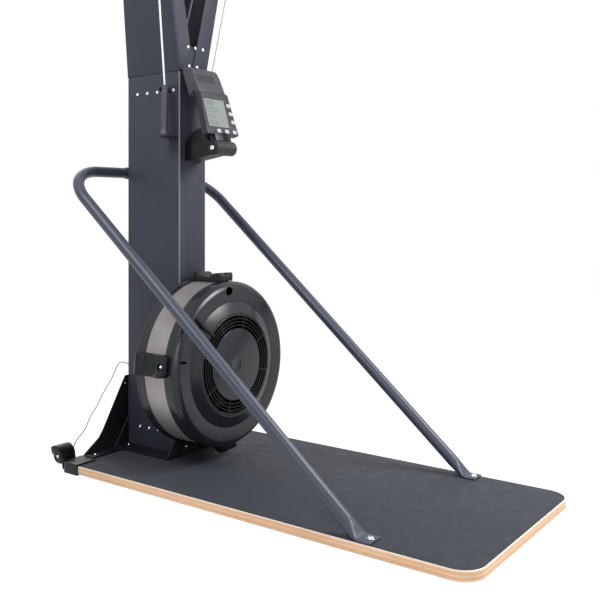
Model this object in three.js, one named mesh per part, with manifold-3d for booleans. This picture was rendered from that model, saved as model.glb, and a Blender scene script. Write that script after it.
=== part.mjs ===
// Air-resistance ski trainer: a plywood deck, a sheet-metal mast that opens into two arms, an air fan
// with an adjustable damper, two handles on ropes, two handrails and a tilting monitor.
// Millimetres, +Z up, +Y from the user towards the mast, +X to the user's right.
import * as THREE from 'three';
import { mergeGeometries, mergeVertices } from 'three/addons/utils/BufferGeometryUtils.js';
import Module from 'manifold-3d';

const wasm = await Module();
wasm.setup();

// Clearances that the pieces share
const seat = 0.3;             // between a piece and what carries it
const runGap = 0.3;           // round a turning pin or shaft, on the radius
const overrun = 5;            // how far a cut runs past the face that it opens

// Facets round a full turn, by how large and how visible a round piece is
const rimFacets = 40;
const midFacets = 24;
const smallFacets = 20;
const drumFacets = 16;
const pinFacets = 12;

// Deck
const deckWidth = 600;
const deckLength = 1290;
const deckThickness = 24;
const deckLift = 3;
const deckFrontRadius = 58;
const deckRearRadius = 18;
const deckEdgeRound = 3;
const matInset = 6;
const matThickness = 0.7;
const padRadius = 22;
const padInsetX = 70;
const padInsetY = 85;

// Rear corner caps and transport wheels
const capWall = 4.5;
const capLengthX = 72;
const capLengthY = 66;
const capTopThickness = 4;
const wheelRadius = 26;
const wheelWidth = 26;
const wheelBehindDeck = 43;   // wheel centre behind the deck's rear edge
const wheelHeight = 38;
const wheelInset = 12;        // wheel's outer face inside the deck's side
const hoodGap = 1.5;
const hoodWall = 3;
const hoodWidth = 51;
const hoodEndShare = 0.55;     // hood's rear end, in quarter turns above the level
const hoodLowEdge = [           // outer cheek's lower edge: depth behind the cap and height
  [53.5, 45], [34, 36], [25.5, 24], [3.2, 21.7],
];
const treadRound = 2.4;
const wheelDishShare = 0.6;
const wheelStepShare = 0.66;
const treadEdgeShare = 0.2;
const wheelPinRadius = 5;
const wheelPinHead = 9;
const wheelPinHeadLength = 4;

// Mast column
const mastWidth = 115;
const mastDepth = 225;
const mastWall = 3;
const mastCorner = 4;
const mastRearInset = 4.4;    // mast's rear face inside the deck's rear edge
const mastSeamHeight = 1184.5;
const deckRearY = deckLength / 2;
const mastRearY = deckRearY - mastRearInset;
const mastFrontY = mastRearY - mastDepth;
const footPlate = 5;
const baseTopHeight = 246;
const baseTopHalf = 70;
const baseBendHeight = 84;
const baseBendHalf = 161;
const baseSideInset = 70;       // flange's end inside the deck's side
const baseFootHalf = deckWidth / 2 - baseSideInset;
const baseThickness = 4;
const baseFlangeDepth = 43;
const gussetHeight = 116;
const gussetHalf = 112;
const footCheekHeight = 128;
const footCheekDepth = 120;

// Arms
const armRise = 845.5;        // arms' top over the mast's seam
const armTop = mastSeamHeight + armRise;
const armWall = 2.5;
const armLeanOut = 0.197;     // outer web, sideways per unit of height
const armLeanFront = 0.03;
const armLeanRear = 0.127;
const armInnerStart = 13;     // inner edge of the front flange at the V's bottom
const armInnerLean = 0.228;
const armVRise = 78.5;         // the V's bottom over the mast's seam
const armVHeight = mastSeamHeight + armVRise;
const armTongueHeight = 95;
const armTongueDepth = 150;
const armTongueWall = 4;
const armFillerReach = 46;

// Handrails
const railRadius = 16.2;
const railTopHalfWidth = 296.7;
const railHeelHalfWidth = 276;
const railFootHalfWidth = 274;
const railTopHeight = 885;
const railBehindMast = 18.9;  // rail's axis behind the mast's rear face
const railBend = 115;
const railFootY = -350;
const railToeY = -396;
const railHeelRise = 6.2;
const railFootHalf = 24;
const railFootThickness = 5;
const sleeveRadius = 18.4;
const sleeveHalf = 48;
const railInnerEnd = 8;
const railSides = 12;
const railBendSteps = 7;
const railFootSquareness = 0.7;
const squashShare = 2.2;      // length of the flattening stretch, in tube radii
const squashShares = [[1, 0, 0], [0.5, 0.35, 0.12], [0.1, 0.75, 0.45]];
const squashLeanShare = 0.3;
const footStartShare = 0.4;

// Fan
const fanRadius = 241;
const fanShell = 3;
const fanReach = 165.6;
const fanFaceY = mastFrontY - fanReach;
const fanFaceRadius = 223;
const shoulderRunShare = 0.53;
const shoulderDropShare = 0.26;
const shoulderDepth = 17;
const coverDepth = 46;
const coverRearY = fanFaceY + coverDepth;
const meshWidth = 78;
const meshRearY = coverRearY + meshWidth;
const housingRimDepth = 25;
const housingRimY = meshRearY + housingRimDepth;
const housingRimRadius = 245;
const housingBackDepth = 9;
const housingBackY = housingRimY + housingBackDepth;
const housingBackRadius = 222;
const housingRimEdge = 3;
const meshThickness = 2;
const ringOuterRadius = 183.2;
const ringSetback = 3;
const ringOuterY = fanFaceY + ringSetback;
const ringInnerRadius = 148;
const ringProud = 13;
const ringInnerY = ringOuterY - ringProud;
const ringShell = 3;
const coverFlangeSetback = 8;
const coverFlangeY = fanFaceY + coverFlangeSetback;
const coverFlangeRadius = 140;
const grilleDiscRadius = 105;
const grilleDiscProud = 2;
const grilleDiscY = ringInnerY - grilleDiscProud;
const grilleDiscThickness = 4;
const grilleDepth = 6;
const grilleRingWidth = 2.6;
const grilleRibWidth = 3;
const grilleRibCount = 8;
const grilleRingCount = 3;
const grilleRibStartDeg = 30;
const grilleFootRadius = 160;
const grilleWallWidth = 4;
const leverWidth = 9;
const leverInner = 141;
const leverOuter = 220;
const leverStand = 4.5;
const leverThickness = 4.6;
const leverAngleDeg = 137;
const clipAnglesDeg = { top: 89, left: 174.5, bottom: 275, right: 354 };
const clipWidth = 62;
const clipSetback = 24;
const clipFrontY = fanFaceY + clipSetback;
const clipRearInset = 5;
const clipRearY = housingBackY - clipRearInset;
const clipStand = 25;         // clip's height over the cover's rim
const clipWaist = 13;
const fanDeckGap = 21;         // the lowest clip over the deck
const fanHeight = deckLift + deckThickness + fanRadius + clipStand + fanDeckGap;
const humpShares = [[0.04, 0.5], [0.11, 1], [0.24, 0.75], [0.42, 0], [0.68, 0], [0.81, 0.75], [0.93, 1]];
const clipEdgeShare = 0.16;
const pocketShare = 0.13;
const clipPocketRadius = 6.5;
const clipPocketDepth = 9;

// Fan wheel, its axle and bearings
const wheelDiscSetback = 102;
const wheelDiscY = fanFaceY + wheelDiscSetback;
const wheelDiscThickness = 4;
const fanWheelRadius = 226;
const bladeCount = 20;
const bladeInner = 152;
const bladeSetback = 8;
const bladeFrontY = coverRearY + bladeSetback;
const bladeThickness = 2.4;
const bladeSlantDeg = 24;
const shroudWidth = 5;
const shroudDepth = 4;
const hubRadius = 34;
const hubNoseShare = 0.7;
const hubFrontLength = 22;
const hubFrontY = wheelDiscY - hubFrontLength;
const hubRearLength = 14;
const hubRearY = wheelDiscY + hubRearLength;
const axleRadius = 10;
const axleFrontReach = 24;
const axleFrontY = hubFrontY - axleFrontReach;
const axleRearReach = 172.4;
const axleRearY = mastFrontY + axleRearReach;
const axleCollarRadius = 14;
const axleNutRadius = 17;
const axleNutLength = 15;
const bearingRadius = 26;
const bearingWidth = 14.4;
const carrierRadius = 31.2;
const carrierFlangeRadius = 60;
const carrierFrontInset = 2;
const carrierFrontY = housingRimY - carrierFrontInset;
const carrierReach = 24.4;
const carrierRearY = mastFrontY + carrierReach;
const carrierBore = 22;
const rearBlockSetback = 150.4;
const rearBlockY = mastFrontY + rearBlockSetback;
const rearBlockRadius = 30;
const rearBlockHalf = 50;
const rearBlockPlate = 5;
const rearBlockDepth = 16;

// Ropes, drums and pulleys
const ropeRadius = 2.75;
const ropeX = 24;             // upright rope runs beside the mast's centre plane
const drumWidth = 15;
const drumFlangeRadius = 30;
const flangeLip = 0.8;
const ropeGrooveGap = 1;      // lets the rope's straight steps clear the groove's floor
const drumSetback = 104.4;
const drumRightY = mastFrontY + drumSetback;
const drumPitch = 20;
const drumLeftY = drumRightY + drumPitch;
const guideRadius = 11;
const guideFlangeRadius = 14;
const guideWidth = 10;
const guideDrop = 34.5;       // guide pulleys below the mast's seam
const guideHeight = mastSeamHeight - guideDrop;
const guidePinRadius = 4;
const guidePlateHalfHeight = 32;
const guidePlateThickness = 4;
const topPulleyRadius = 46;
const topPulleyFlange = 50;
const topPulleyWidth = 14;
const topPinRadius = 6;
const pulleyFloat = 1.3;      // side play between a pulley and its cheek
const cheekThickness = 3;
const blockPlate = 5;
const blockRise = 52;         // pulley centre over the block's plate
const blockMargin = 2;
const blockTurnDeg = 54;      // pulley's plane, turned from straight sideways
const ropeHoleRadius = 8;
const ropeHingeDrop = 21;     // where the rope clears the pulley's flange and can swing
const ropeHingeGap = 1.6;     // room for the rope's cut end to turn there
const pulleyWrapSteps = 9;
const drumWrapSteps = 10;
const drumWrapTurns = 0.75;

// Handles and their holders
const handleX = 97;
const handleSetback = 22.4;
const handleY = mastFrontY + handleSetback;
const handleDrop = 47.5;      // handles' top below the mast's seam
const handleTop = mastSeamHeight - handleDrop;
const handleLength = 148.7;
const handleFlangeRadius = 15;
const handleGripRadius = 11;
const handleNeckRadius = 8;
const gripWaistShare = 0.92;
const gripLengthShares = [0.03, 0.12, 0.5, 0.87, 0.9, 0.96];
const ropeTopX = 263.7;
const ropeTopReach = 60.1;
const ropeTopY = mastFrontY - ropeTopReach;
const holderPlate = 3;
const holderSetback = 4.4;
const holderFrontY = mastFrontY + holderSetback;
const holderDepth = 42;
const holderRearY = holderFrontY + holderDepth;
const holderOverHandle = 5;
const holderTop = handleTop + holderOverHandle;
const holderShelf = 5;
const holderShelfReach = 20;
const holderPegThickness = 4;
const holderPegHeight = 13;
const holderPegReach = 105;
const holderPegGap = 2;
const holderPegDrop = 4;

// Monitor
const pivotReach = 127.6;
const pivotY = mastFrontY - pivotReach;
const pivotDrop = 236.5;      // monitor's pivot below the mast's seam
const pivotHeight = mastSeamHeight - pivotDrop;
const barrelRadius = 21.5;
const barrelLeft = 52;
const barrelRight = 36;
const barrelChamfer = 3;
const knuckleHalf = 14;
const pivotPinRadius = 5;
const pinSink = 2;            // how far a pin's end is sunk in what holds it
const monitorTiltDeg = 16.7;
const monitorFaceY = -10;
const monitorThickness = 28;
const monitorBottom = 40;
const monitorTop = 173.5;
const monitorBottomHalf = 70;
const monitorTopHalf = 60;
const monitorCorner = 5;
const backStep = 8;
const backInset = 6;
const displayLeft = -54;
const displayRight = 35;
const displayBottom = 64;
const displayTop = 152;
const displayThickness = 2;
const displayRecess = 0.8;
const keyWidth = 16;
const keyHeight = 12;
const keyCorner = 2.5;
const keyDepth = 4;
const keyProud = 1.5;
const keyTravel = 1.2;
const keyColumnX = 51;
const keyColumnStep = 2.6;    // the column follows the housing's slanted edge
const keyColumnTop = 136;
const keyColumnPitch = 26.5;
const keyRowX = 53;
const keyRowPitch = 35;
const keyRowHeight = 51;
const holderHalf = 58;
const holderShell = 3;
const holderFaceY = -4;
const holderFaceRun = 8;      // how far the face slants back over its height
const holderFaceRise = 57;
const holderProfile = [       // face and top, from the monitor up: depth and rise over the monitor
  [holderFaceY, 0], [holderFaceY + holderFaceRun, holderFaceRise], [8.9, 74.5], [14, 83.5], [36.4, 97.5],
];
const holderBack = [[41.5, 79], [37.8, 1.5], [15, 12], [11, 0]];
const holderRecess = 1.8;
const holderRecessLeft = -50;
const holderRecessRight = 26;
const holderRecessRise = 35;
const holderRecessHeight = 25;
const neckDepth = 22;
const neckLeft = 40;
const neckRight = 28;
const bracketPlate = 3;
const bracketHalf = 33;
const bracketWall = 5;
const wallEndShare = 0.85;
const bracketRise = 20;
const bracketTop = pivotHeight + bracketRise;
const bracketDrop = 34.5;
const bracketBottom = pivotHeight - bracketDrop;

// Lead
const leadRadius = 1.25;
const leadExitHeight = 276;
const leadExitX = 47;
const leadExitHole = 1.7;
const coilX = -128;
const coilY = 682;
const coilInner = 7;
const coilPitch = 3;
const coilLoops = 10.25;
const coilSteps = 22;
const coilTailLength = 16;
const plugRadius = 4.5;
const plugLength = 34;
const plugNeckShare = 0.6;
const plugFlareShare = 0.2;
const plugStepShare = 0.7;

// Places worked out from the dimensions above
const deckTop = deckLift + deckThickness;
const floorTop = deckTop + seat + matThickness;
const plateBottom = floorTop + seat;
const plateTop = plateBottom + footPlate;
const mastHalf = mastWidth / 2;
const mastBottom = plateTop + seat;
const mastInner = mastHalf - mastWall;
const railY = mastRearY + railBehindMast;
const wheelY = deckRearY + wheelBehindDeck;
const footprintShift = (wheelY + wheelRadius - deckRearY) / 2;
const guideY = { left: drumLeftY, right: drumRightY };
const topPulleyHeight = armTop + seat + blockPlate + blockRise;

// Finishes
const finish = (color, roughness, metalness = 0) => () =>
  new THREE.MeshStandardMaterial({ color, roughness, metalness });
const powderCoat = finish(0x44464f, 0.55, 0.3);
const railPaint = finish(0x4c5160, 0.4, 0.4);
const blackSteel = finish(0x17181b, 0.5, 0.4);
const blackPlastic = finish(0x1c1d20, 0.45);
const fanPlastic = finish(0x26282c, 0.35);
const paleMesh = finish(0xa39d97, 0.6, 0.3);
const plywood = finish(0xe3b383, 0.6);
const gripSheet = finish(0x2c2e32, 0.95);
const rubber = finish(0x141416, 0.9);
const steel = finish(0xb8bac0, 0.3, 0.9);
const castIron = finish(0x3a3b3e, 0.6, 0.6);
const whiteRope = finish(0xf0f0ee, 0.8);
const displayGlass = finish(0x9aa79d, 0.25);
const keyPlastic = finish(0xb4b5ba, 0.5);

// Solids: every helper below gives back a closed solid that can be joined and cut
function toSolid(geometry) {
  const bare = geometry.clone();
  for (const name of Object.keys(bare.attributes)) {
    if (name !== 'position') bare.deleteAttribute(name);
  }
  const merged = mergeVertices(bare);
  const position = merged.attributes.position;
  const index = Array.from(merged.index.array);
  const a = new THREE.Vector3();
  const b = new THREE.Vector3();
  const c = new THREE.Vector3();
  const triangles = [];
  let volume = 0;
  for (let i = 0; i < index.length; i += 3) {
    const [i0, i1, i2] = [index[i], index[i + 1], index[i + 2]];
    if (i0 === i1 || i1 === i2 || i2 === i0) continue;
    a.fromBufferAttribute(position, i0);
    b.fromBufferAttribute(position, i1);
    c.fromBufferAttribute(position, i2);
    volume += a.dot(b.cross(c));
    triangles.push([i0, i1, i2]);
  }
  const facesOut = volume < 0 ? triangles.map(([i0, i1, i2]) => [i0, i2, i1]) : triangles;
  return new wasm.Manifold(new wasm.Mesh({
    numProp: 3,
    vertProperties: new Float32Array(position.array),
    triVerts: new Uint32Array(facesOut.flat()),
  }));
}

function toGeometry(solid) {
  const mesh = solid.getMesh();
  const geometry = new THREE.BufferGeometry();
  geometry.setAttribute('position', new THREE.Float32BufferAttribute(mesh.vertProperties, mesh.numProp));
  geometry.setIndex(Array.from(mesh.triVerts));
  return geometry;
}

const join = (first, ...others) => others.reduce((sum, other) => sum.add(other), first);
const cut = (first, ...others) => others.reduce((rest, other) => rest.subtract(other), first);
const moved = (solid, matrix) => toSolid(toGeometry(solid).applyMatrix4(matrix));
const mirrored = (solid) => moved(solid, new THREE.Matrix4().makeScale(-1, 1, 1));
const turnedY = (solid, angle) => moved(solid, new THREE.Matrix4().makeRotationY(angle));

function block([x0, x1], [y0, y1], [z0, z1]) {
  const geometry = new THREE.BoxGeometry(x1 - x0, y1 - y0, z1 - z0);
  return toSolid(geometry.translate((x0 + x1) / 2, (y0 + y1) / 2, (z0 + z1) / 2));
}

const outline = (points) => new THREE.Shape(points.map(([u, v]) => new THREE.Vector2(u, v)));

// An outline in X and Y, raised from z0 to z1
function slabZ(shape, z0, z1, curveSegments = 4) {
  const geometry = new THREE.ExtrudeGeometry(shape, { depth: z1 - z0, bevelEnabled: false, curveSegments });
  return toSolid(geometry.translate(0, 0, z0));
}

// An outline in X and Z, drawn out from y0 to y1
function slabY(shape, y0, y1, curveSegments = 4) {
  const geometry = new THREE.ExtrudeGeometry(shape, { depth: y1 - y0, bevelEnabled: false, curveSegments });
  return toSolid(geometry.rotateX(Math.PI / 2).translate(0, y1, 0));
}

// An outline in Y and Z, drawn out from x0 to x1
function slabX(shape, x0, x1, curveSegments = 4) {
  const geometry = new THREE.ExtrudeGeometry(shape, { depth: x1 - x0, bevelEnabled: false, curveSegments });
  const turn = new THREE.Matrix4().makeBasis(
    new THREE.Vector3(0, 1, 0), new THREE.Vector3(0, 0, 1), new THREE.Vector3(1, 0, 0));
  return toSolid(geometry.applyMatrix4(turn).translate(x0, 0, 0));
}

// A turned piece: the profile is a closed loop of radius and place along the axis
const quarterTurn = Math.PI / 2;
const alongAxis = { x: -quarterTurn, y: 0, z: quarterTurn };
function turned(profile, axis, segments, centre = [0, 0, 0]) {
  const loop = [...profile, profile[0]].map(([r, s]) => new THREE.Vector2(r, s));
  const geometry = new THREE.LatheGeometry(loop, segments);
  if (axis === 'x') geometry.rotateZ(alongAxis.x);
  if (axis === 'z') geometry.rotateX(alongAxis.z);
  return toSolid(geometry.translate(...centre));
}

// A plain cylinder, as a turned piece that closes on its axis
function rod(radius, axis, from, to, segments, centre = [0, 0, 0]) {
  return turned([[0, from], [radius, from], [radius, to], [0, to]], axis, segments, centre);
}

// A body through rings of points, closed with a flat cap at each end
function loft(rings) {
  const count = rings[0].length;
  const positions = rings.flat().flatMap((p) => [p.x, p.y, p.z]);
  const index = [];
  for (let i = 0; i + 1 < rings.length; i++) {
    for (let j = 0; j < count; j++) {
      const a = i * count + j;
      const b = i * count + (j + 1) % count;
      index.push(a, b, b + count, a, b + count, a + count);
    }
  }
  const last = (rings.length - 1) * count;
  for (let j = 1; j + 1 < count; j++) {
    index.push(0, j + 1, j, last, last + j, last + j + 1);
  }
  const geometry = new THREE.BufferGeometry();
  geometry.setAttribute('position', new THREE.Float32BufferAttribute(positions, 3));
  geometry.setIndex(index);
  return toSolid(geometry);
}

// A ring of points round a centre, on two half-axes; squareness takes it from round towards square
function ring(centre, sideAxis, upAxis, sides, squareness = 0) {
  const bulge = (share) => Math.sign(share) * Math.abs(share) ** (1 - squareness);
  return Array.from({ length: sides }, (_, k) => {
    const angle = (k + 0.5) / sides * 2 * Math.PI;
    return centre.clone().addScaledVector(sideAxis, bulge(Math.cos(angle)))
      .addScaledVector(upAxis, bulge(Math.sin(angle)));
  });
}

// A round cord through a list of points, its rings square to the route
function cord(points, radius, sides) {
  const tangents = points.map((point, i) => {
    const before = points[Math.max(i - 1, 0)];
    const after = points[Math.min(i + 1, points.length - 1)];
    return after.clone().sub(before).normalize();
  });
  let side = new THREE.Vector3(0, 1, 0).cross(tangents[0]);
  if (side.length() < 0.1) side = new THREE.Vector3(1, 0, 0).cross(tangents[0]);
  side.normalize();
  return loft(points.map((point, i) => {
    side = side.clone().addScaledVector(tangents[i], -side.dot(tangents[i])).normalize();
    const up = tangents[i].clone().cross(side);
    return ring(point, side.clone().multiplyScalar(radius), up.multiplyScalar(radius), sides);
  }));
}

const vec = (x, y, z) => new THREE.Vector3(x, y, z);
const machine = new THREE.Group();
machine.position.y = -footprintShift;

function add(name, solid, material, parent = machine) {
  const mesh = new THREE.Mesh(toGeometry(solid), material());
  mesh.name = name;
  parent.add(mesh);
  return mesh;
}

// Adds a left piece and its mirror image on the right
function addPair(name, leftSolid, material) {
  add(`${name}_left`, leftSolid, material);
  add(`${name}_right`, mirrored(leftSolid), material);
}

// Deck: a plywood board with eased edges, round front corners and a grip sheet
function deckShape(inset) {
  const x = deckWidth / 2 - inset;
  const front = -deckRearY + inset;
  const rear = deckRearY - inset;
  const rf = deckFrontRadius - inset;
  const rr = deckRearRadius - inset;
  const shape = new THREE.Shape();
  shape.absarc(x - rf, front + rf, rf, -quarterTurn, 0);
  shape.absarc(x - rr, rear - rr, rr, 0, quarterTurn);
  shape.absarc(-x + rr, rear - rr, rr, quarterTurn, 2 * quarterTurn);
  shape.absarc(-x + rf, front + rf, rf, 2 * quarterTurn, 3 * quarterTurn);
  return shape;
}

function deckBoard() {
  const geometry = new THREE.ExtrudeGeometry(deckShape(0), {
    depth: deckThickness - 2 * deckEdgeRound,
    bevelThickness: deckEdgeRound,
    bevelSize: deckEdgeRound,
    bevelOffset: -deckEdgeRound,
    bevelSegments: 1,
    curveSegments: 6,
  });
  return toSolid(geometry.translate(0, 0, deckLift + deckEdgeRound));
}

function frontPad() {
  const top = deckLift - seat;
  const foot = padRadius - deckLift;
  return turned([[0, 0], [foot, 0], [padRadius, top], [0, top]], 'z', smallFacets,
    [-deckWidth / 2 + padInsetX, -deckRearY + padInsetY, 0]);
}

add('deck_board', deckBoard(), plywood);
add('deck_mat', slabZ(deckShape(matInset), deckTop + seat, floorTop, 6), gripSheet);
addPair('front_pad', frontPad(), rubber);

// Rear corner caps: a moulded shoe round the board's corner, a hood over the wheel and the wheel's pin
const wheelOuterX = deckWidth / 2 - wheelInset;
const wheelInnerX = wheelOuterX - wheelWidth;
const hoodInner = wheelRadius + hoodGap;
const hoodOuter = hoodInner + hoodWall;
const cheekX = wheelInnerX - seat;

function cornerCap() {
  const outerX = deckWidth / 2 + capWall;
  const outerY = deckRearY + capWall;
  const top = floorTop + seat + capTopThickness;
  const shape = new THREE.Shape();
  shape.moveTo(-outerX, outerY - capLengthY);
  shape.lineTo(-outerX, outerY - deckRearRadius / 2);
  shape.quadraticCurveTo(-outerX, outerY, -outerX + deckRearRadius / 2, outerY);
  shape.lineTo(-outerX + capLengthX, outerY);
  shape.lineTo(-outerX + capLengthX, outerY - capLengthY);
  const shoe = slabZ(shape, 0, top);
  const pocket = block([-deckWidth / 2 - seat, 0], [0, deckRearY + seat],
    [deckLift - seat, floorTop + seat]);
  const frontWall = block([-outerX + capWall, -outerX + capWall + hoodWidth],
    [outerY - seat, outerY + hoodWall], [capTopThickness, wheelHeight]);
  return { shoe: cut(shoe, pocket), frontWall, outerX, outerY };
}

function wheelHood(outerX) {
  const arc = new THREE.Shape();
  arc.absarc(wheelY, wheelHeight, hoodOuter, quarterTurn * hoodEndShare, 2 * quarterTurn);
  arc.absarc(wheelY, wheelHeight, hoodInner, 2 * quarterTurn, quarterTurn * hoodEndShare, true);
  const left = -outerX + capWall;
  const hood = slabX(arc, left, left + hoodWidth, 6);
  const web = new THREE.Shape();
  web.absarc(wheelY, wheelHeight, hoodOuter, 0, 2 * quarterTurn);
  web.lineTo(deckRearY + capWall - seat, wheelHeight);
  web.lineTo(deckRearY + capWall - seat, capTopThickness);
  web.lineTo(wheelY - wheelRadius / 2, capTopThickness);
  const cheek = slabX(web, -cheekX, -cheekX + hoodWall, 6);
  const capRear = deckRearY + capWall - seat;
  const flank = new THREE.Shape();
  flank.moveTo(capRear, wheelHeight);
  hoodLowEdge.toReversed().forEach(([behind, z]) => flank.lineTo(capRear + behind, z));
  flank.absarc(wheelY, wheelHeight, hoodOuter, quarterTurn * hoodEndShare, 2 * quarterTurn);
  const outerCheek = slabX(flank, left, left + hoodWall, 6);
  const pin = rod(wheelPinRadius, 'x', -wheelOuterX - 2 * seat, -cheekX + seat, pinFacets,
    [0, wheelY, wheelHeight]);
  const headX = -wheelOuterX - seat;
  const head = rod(wheelPinHead, 'x', headX - wheelPinHeadLength, headX, pinFacets,
    [0, wheelY, wheelHeight]);
  return join(hood, cheek, outerCheek, pin, head);
}

function transportWheel() {
  const bore = wheelPinRadius + runGap;
  const round = wheelRadius - treadRound;
  const edge = wheelWidth * treadEdgeShare;
  return turned([
    [bore, -wheelOuterX], [wheelRadius * wheelDishShare, -wheelOuterX],
    [wheelRadius * wheelStepShare, -wheelOuterX + edge / 2],
    [round, -wheelOuterX + edge / 4], [wheelRadius, -wheelOuterX + edge], [wheelRadius, -wheelInnerX - edge],
    [round, -wheelInnerX], [bore, -wheelInnerX],
  ], 'x', smallFacets, [0, wheelY, wheelHeight]);
}

const cap = cornerCap();
addPair('corner_cap', join(cap.shoe, cap.frontWall, wheelHood(cap.outerX)), blackPlastic);
addPair('transport_wheel', transportWheel(), rubber);

// Mast foot: the bell-shaped rear plate with its flange, and the foot that the column is bolted to
function rearBasePlate() {
  const y0 = mastRearY + seat;
  const y1 = y0 + baseThickness;
  const bend = (baseBendHalf - baseTopHalf) / 8;
  const half = [
    [baseFootHalf, plateBottom], [baseFootHalf, plateTop], [baseBendHalf + bend, baseBendHeight - bend],
    [baseBendHalf - bend / 2, baseBendHeight + bend], [baseTopHalf + bend / 3, baseTopHeight - bend],
    [baseTopHalf - bend / 3, baseTopHeight],
  ];
  const bell = slabY(outline([...half, ...half.map(([x, z]) => [-x, z]).reverse()]), y0, y1);
  const flange = block([-baseFootHalf, baseFootHalf], [y1 - baseFlangeDepth, y1], [plateBottom, plateTop]);
  const inner = mastHalf + seat;
  const wing = slabY(outline([[inner, plateBottom], [gussetHalf, plateBottom], [gussetHalf, plateTop],
    [inner, gussetHeight]]), y0 - footPlate, y0 + seat);
  return join(bell, flange, wing, mirrored(wing));
}

function mastFoot() {
  const rear = mastRearY + seat + baseThickness - baseFlangeDepth - seat;
  const front = mastFrontY - seat - footPlate;
  const base = block([-gussetHalf, gussetHalf], [front, rear], [plateBottom, plateTop]);
  const gussetShape = outline([[-gussetHalf, plateBottom], [gussetHalf, plateBottom], [gussetHalf, plateTop],
    [mastHalf, gussetHeight], [-mastHalf, gussetHeight], [-gussetHalf, plateTop]]);
  const gusset = slabY(gussetShape, front, front + footPlate);
  const middle = (front + rear) / 2;
  const cheek = block([-mastInner + seat, -mastInner + seat + footPlate],
    [middle - footCheekDepth / 2, middle + footCheekDepth / 2], [plateBottom + seat, footCheekHeight]);
  return join(base, gusset, cheek, mirrored(cheek));
}

add('rear_base_plate', rearBasePlate(), blackSteel);
add('mast_foot', mastFoot(), blackSteel);

// Mast column: a folded box with the fan's hole in front and the lead's hole behind
function roundedRect(x, y0, y1, r) {
  const shape = new THREE.Shape();
  shape.absarc(x - r, y0 + r, r, -quarterTurn, 0);
  shape.absarc(x - r, y1 - r, r, 0, quarterTurn);
  shape.absarc(-x + r, y1 - r, r, quarterTurn, 2 * quarterTurn);
  shape.absarc(-x + r, y0 + r, r, 2 * quarterTurn, 3 * quarterTurn);
  return shape;
}

function mastColumn() {
  const shell = roundedRect(mastHalf, mastFrontY, mastRearY, mastCorner);
  shell.holes.push(
    roundedRect(mastInner, mastFrontY + mastWall, mastRearY - mastWall, mastCorner - mastWall));
  const fanHole = rod(carrierRadius + seat, 'y', mastFrontY - overrun, mastFrontY + mastWall + overrun,
    midFacets, [0, 0, fanHeight]);
  const leadHole = rod(leadExitHole, 'y', mastRearY - mastWall - overrun, mastRearY + overrun, pinFacets,
    [-leadExitX, 0, leadExitHeight]);
  return cut(slabZ(shell, mastBottom, mastSeamHeight, 2), fanHole, leadHole);
}

add('mast_column', mastColumn(), powderCoat);

// Arms: open channels that lean outwards and forwards; their front flanges cross over the V's bottom
function armWedge(inset, frontY) {
  const rings = [mastSeamHeight + seat - (inset ? overrun : 0), armTop + (inset ? overrun : 0)].map((z) => {
    const h = z - mastSeamHeight;
    const outer = mastHalf + armLeanOut * h - inset;
    const inner = inset ? -mastHalf : armInnerStart + armInnerLean * (z - armVHeight);
    const front = frontY - armLeanFront * h + inset;
    const rear = mastRearY - armLeanRear * h - inset;
    return [vec(-outer, front, z), vec(-outer, rear, z), vec(-inner, rear, z), vec(-inner, front, z)];
  });
  return loft(rings);
}

function armChannel(frontY) {
  const channel = cut(armWedge(0, frontY), armWedge(armWall, frontY));
  const past = block([-seat, mastWidth], [frontY + mastDepth / 2, mastRearY + overrun], [0, armTop]);
  const tongueTop = mastSeamHeight + seat + 4 * armTongueWall;
  const middle = mastFrontY + mastDepth / 2 + armTongueWall;
  const tongueY = [middle - armTongueDepth / 2, middle + armTongueDepth / 2];
  const tongue = block([-mastInner + seat, -mastInner + seat + armTongueWall], tongueY,
    [mastSeamHeight - armTongueHeight, tongueTop]);
  const joggle = block([-mastHalf + seat, -mastInner + seat + armTongueWall], tongueY,
    [mastSeamHeight + seat, tongueTop]);
  return join(cut(channel, past), tongue, joggle);
}

function armLeft() {
  const z0 = mastSeamHeight + seat;
  const lean = armLeanFront * (armVHeight - mastSeamHeight);
  const filler = loft([[z0, 0], [armVHeight, lean]].map(([z, forward]) => [
    vec(-mastHalf + armWall, mastFrontY - forward, z), vec(armFillerReach, mastFrontY - forward, z),
    vec(armFillerReach, mastFrontY - forward + armWall, z),
    vec(-mastHalf + armWall, mastFrontY - forward + armWall, z),
  ]));
  return join(armChannel(mastFrontY), filler);
}

add('arm_left', armLeft(), powderCoat);
add('arm_right', mirrored(armChannel(mastFrontY - armWall - seat)), powderCoat);

// Handrails: one bent tube each, from the sleeve behind the mast down to a flattened foot
function railSleeve() {
  const tube = turned([[railRadius + seat, -sleeveHalf], [sleeveRadius, -sleeveHalf],
    [sleeveRadius, sleeveHalf], [railRadius + seat, sleeveHalf]], 'x', smallFacets,
    [0, railY, railTopHeight]);
  const saddle = block([-sleeveHalf + overrun, sleeveHalf - overrun],
    [mastRearY + seat, railY - railRadius - seat], [railTopHeight - railRadius, railTopHeight + railRadius]);
  const bore = rod(railRadius + seat, 'x', -sleeveHalf - overrun, sleeveHalf + overrun, smallFacets,
    [0, railY, railTopHeight]);
  return join(tube, cut(saddle, bore));
}

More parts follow.
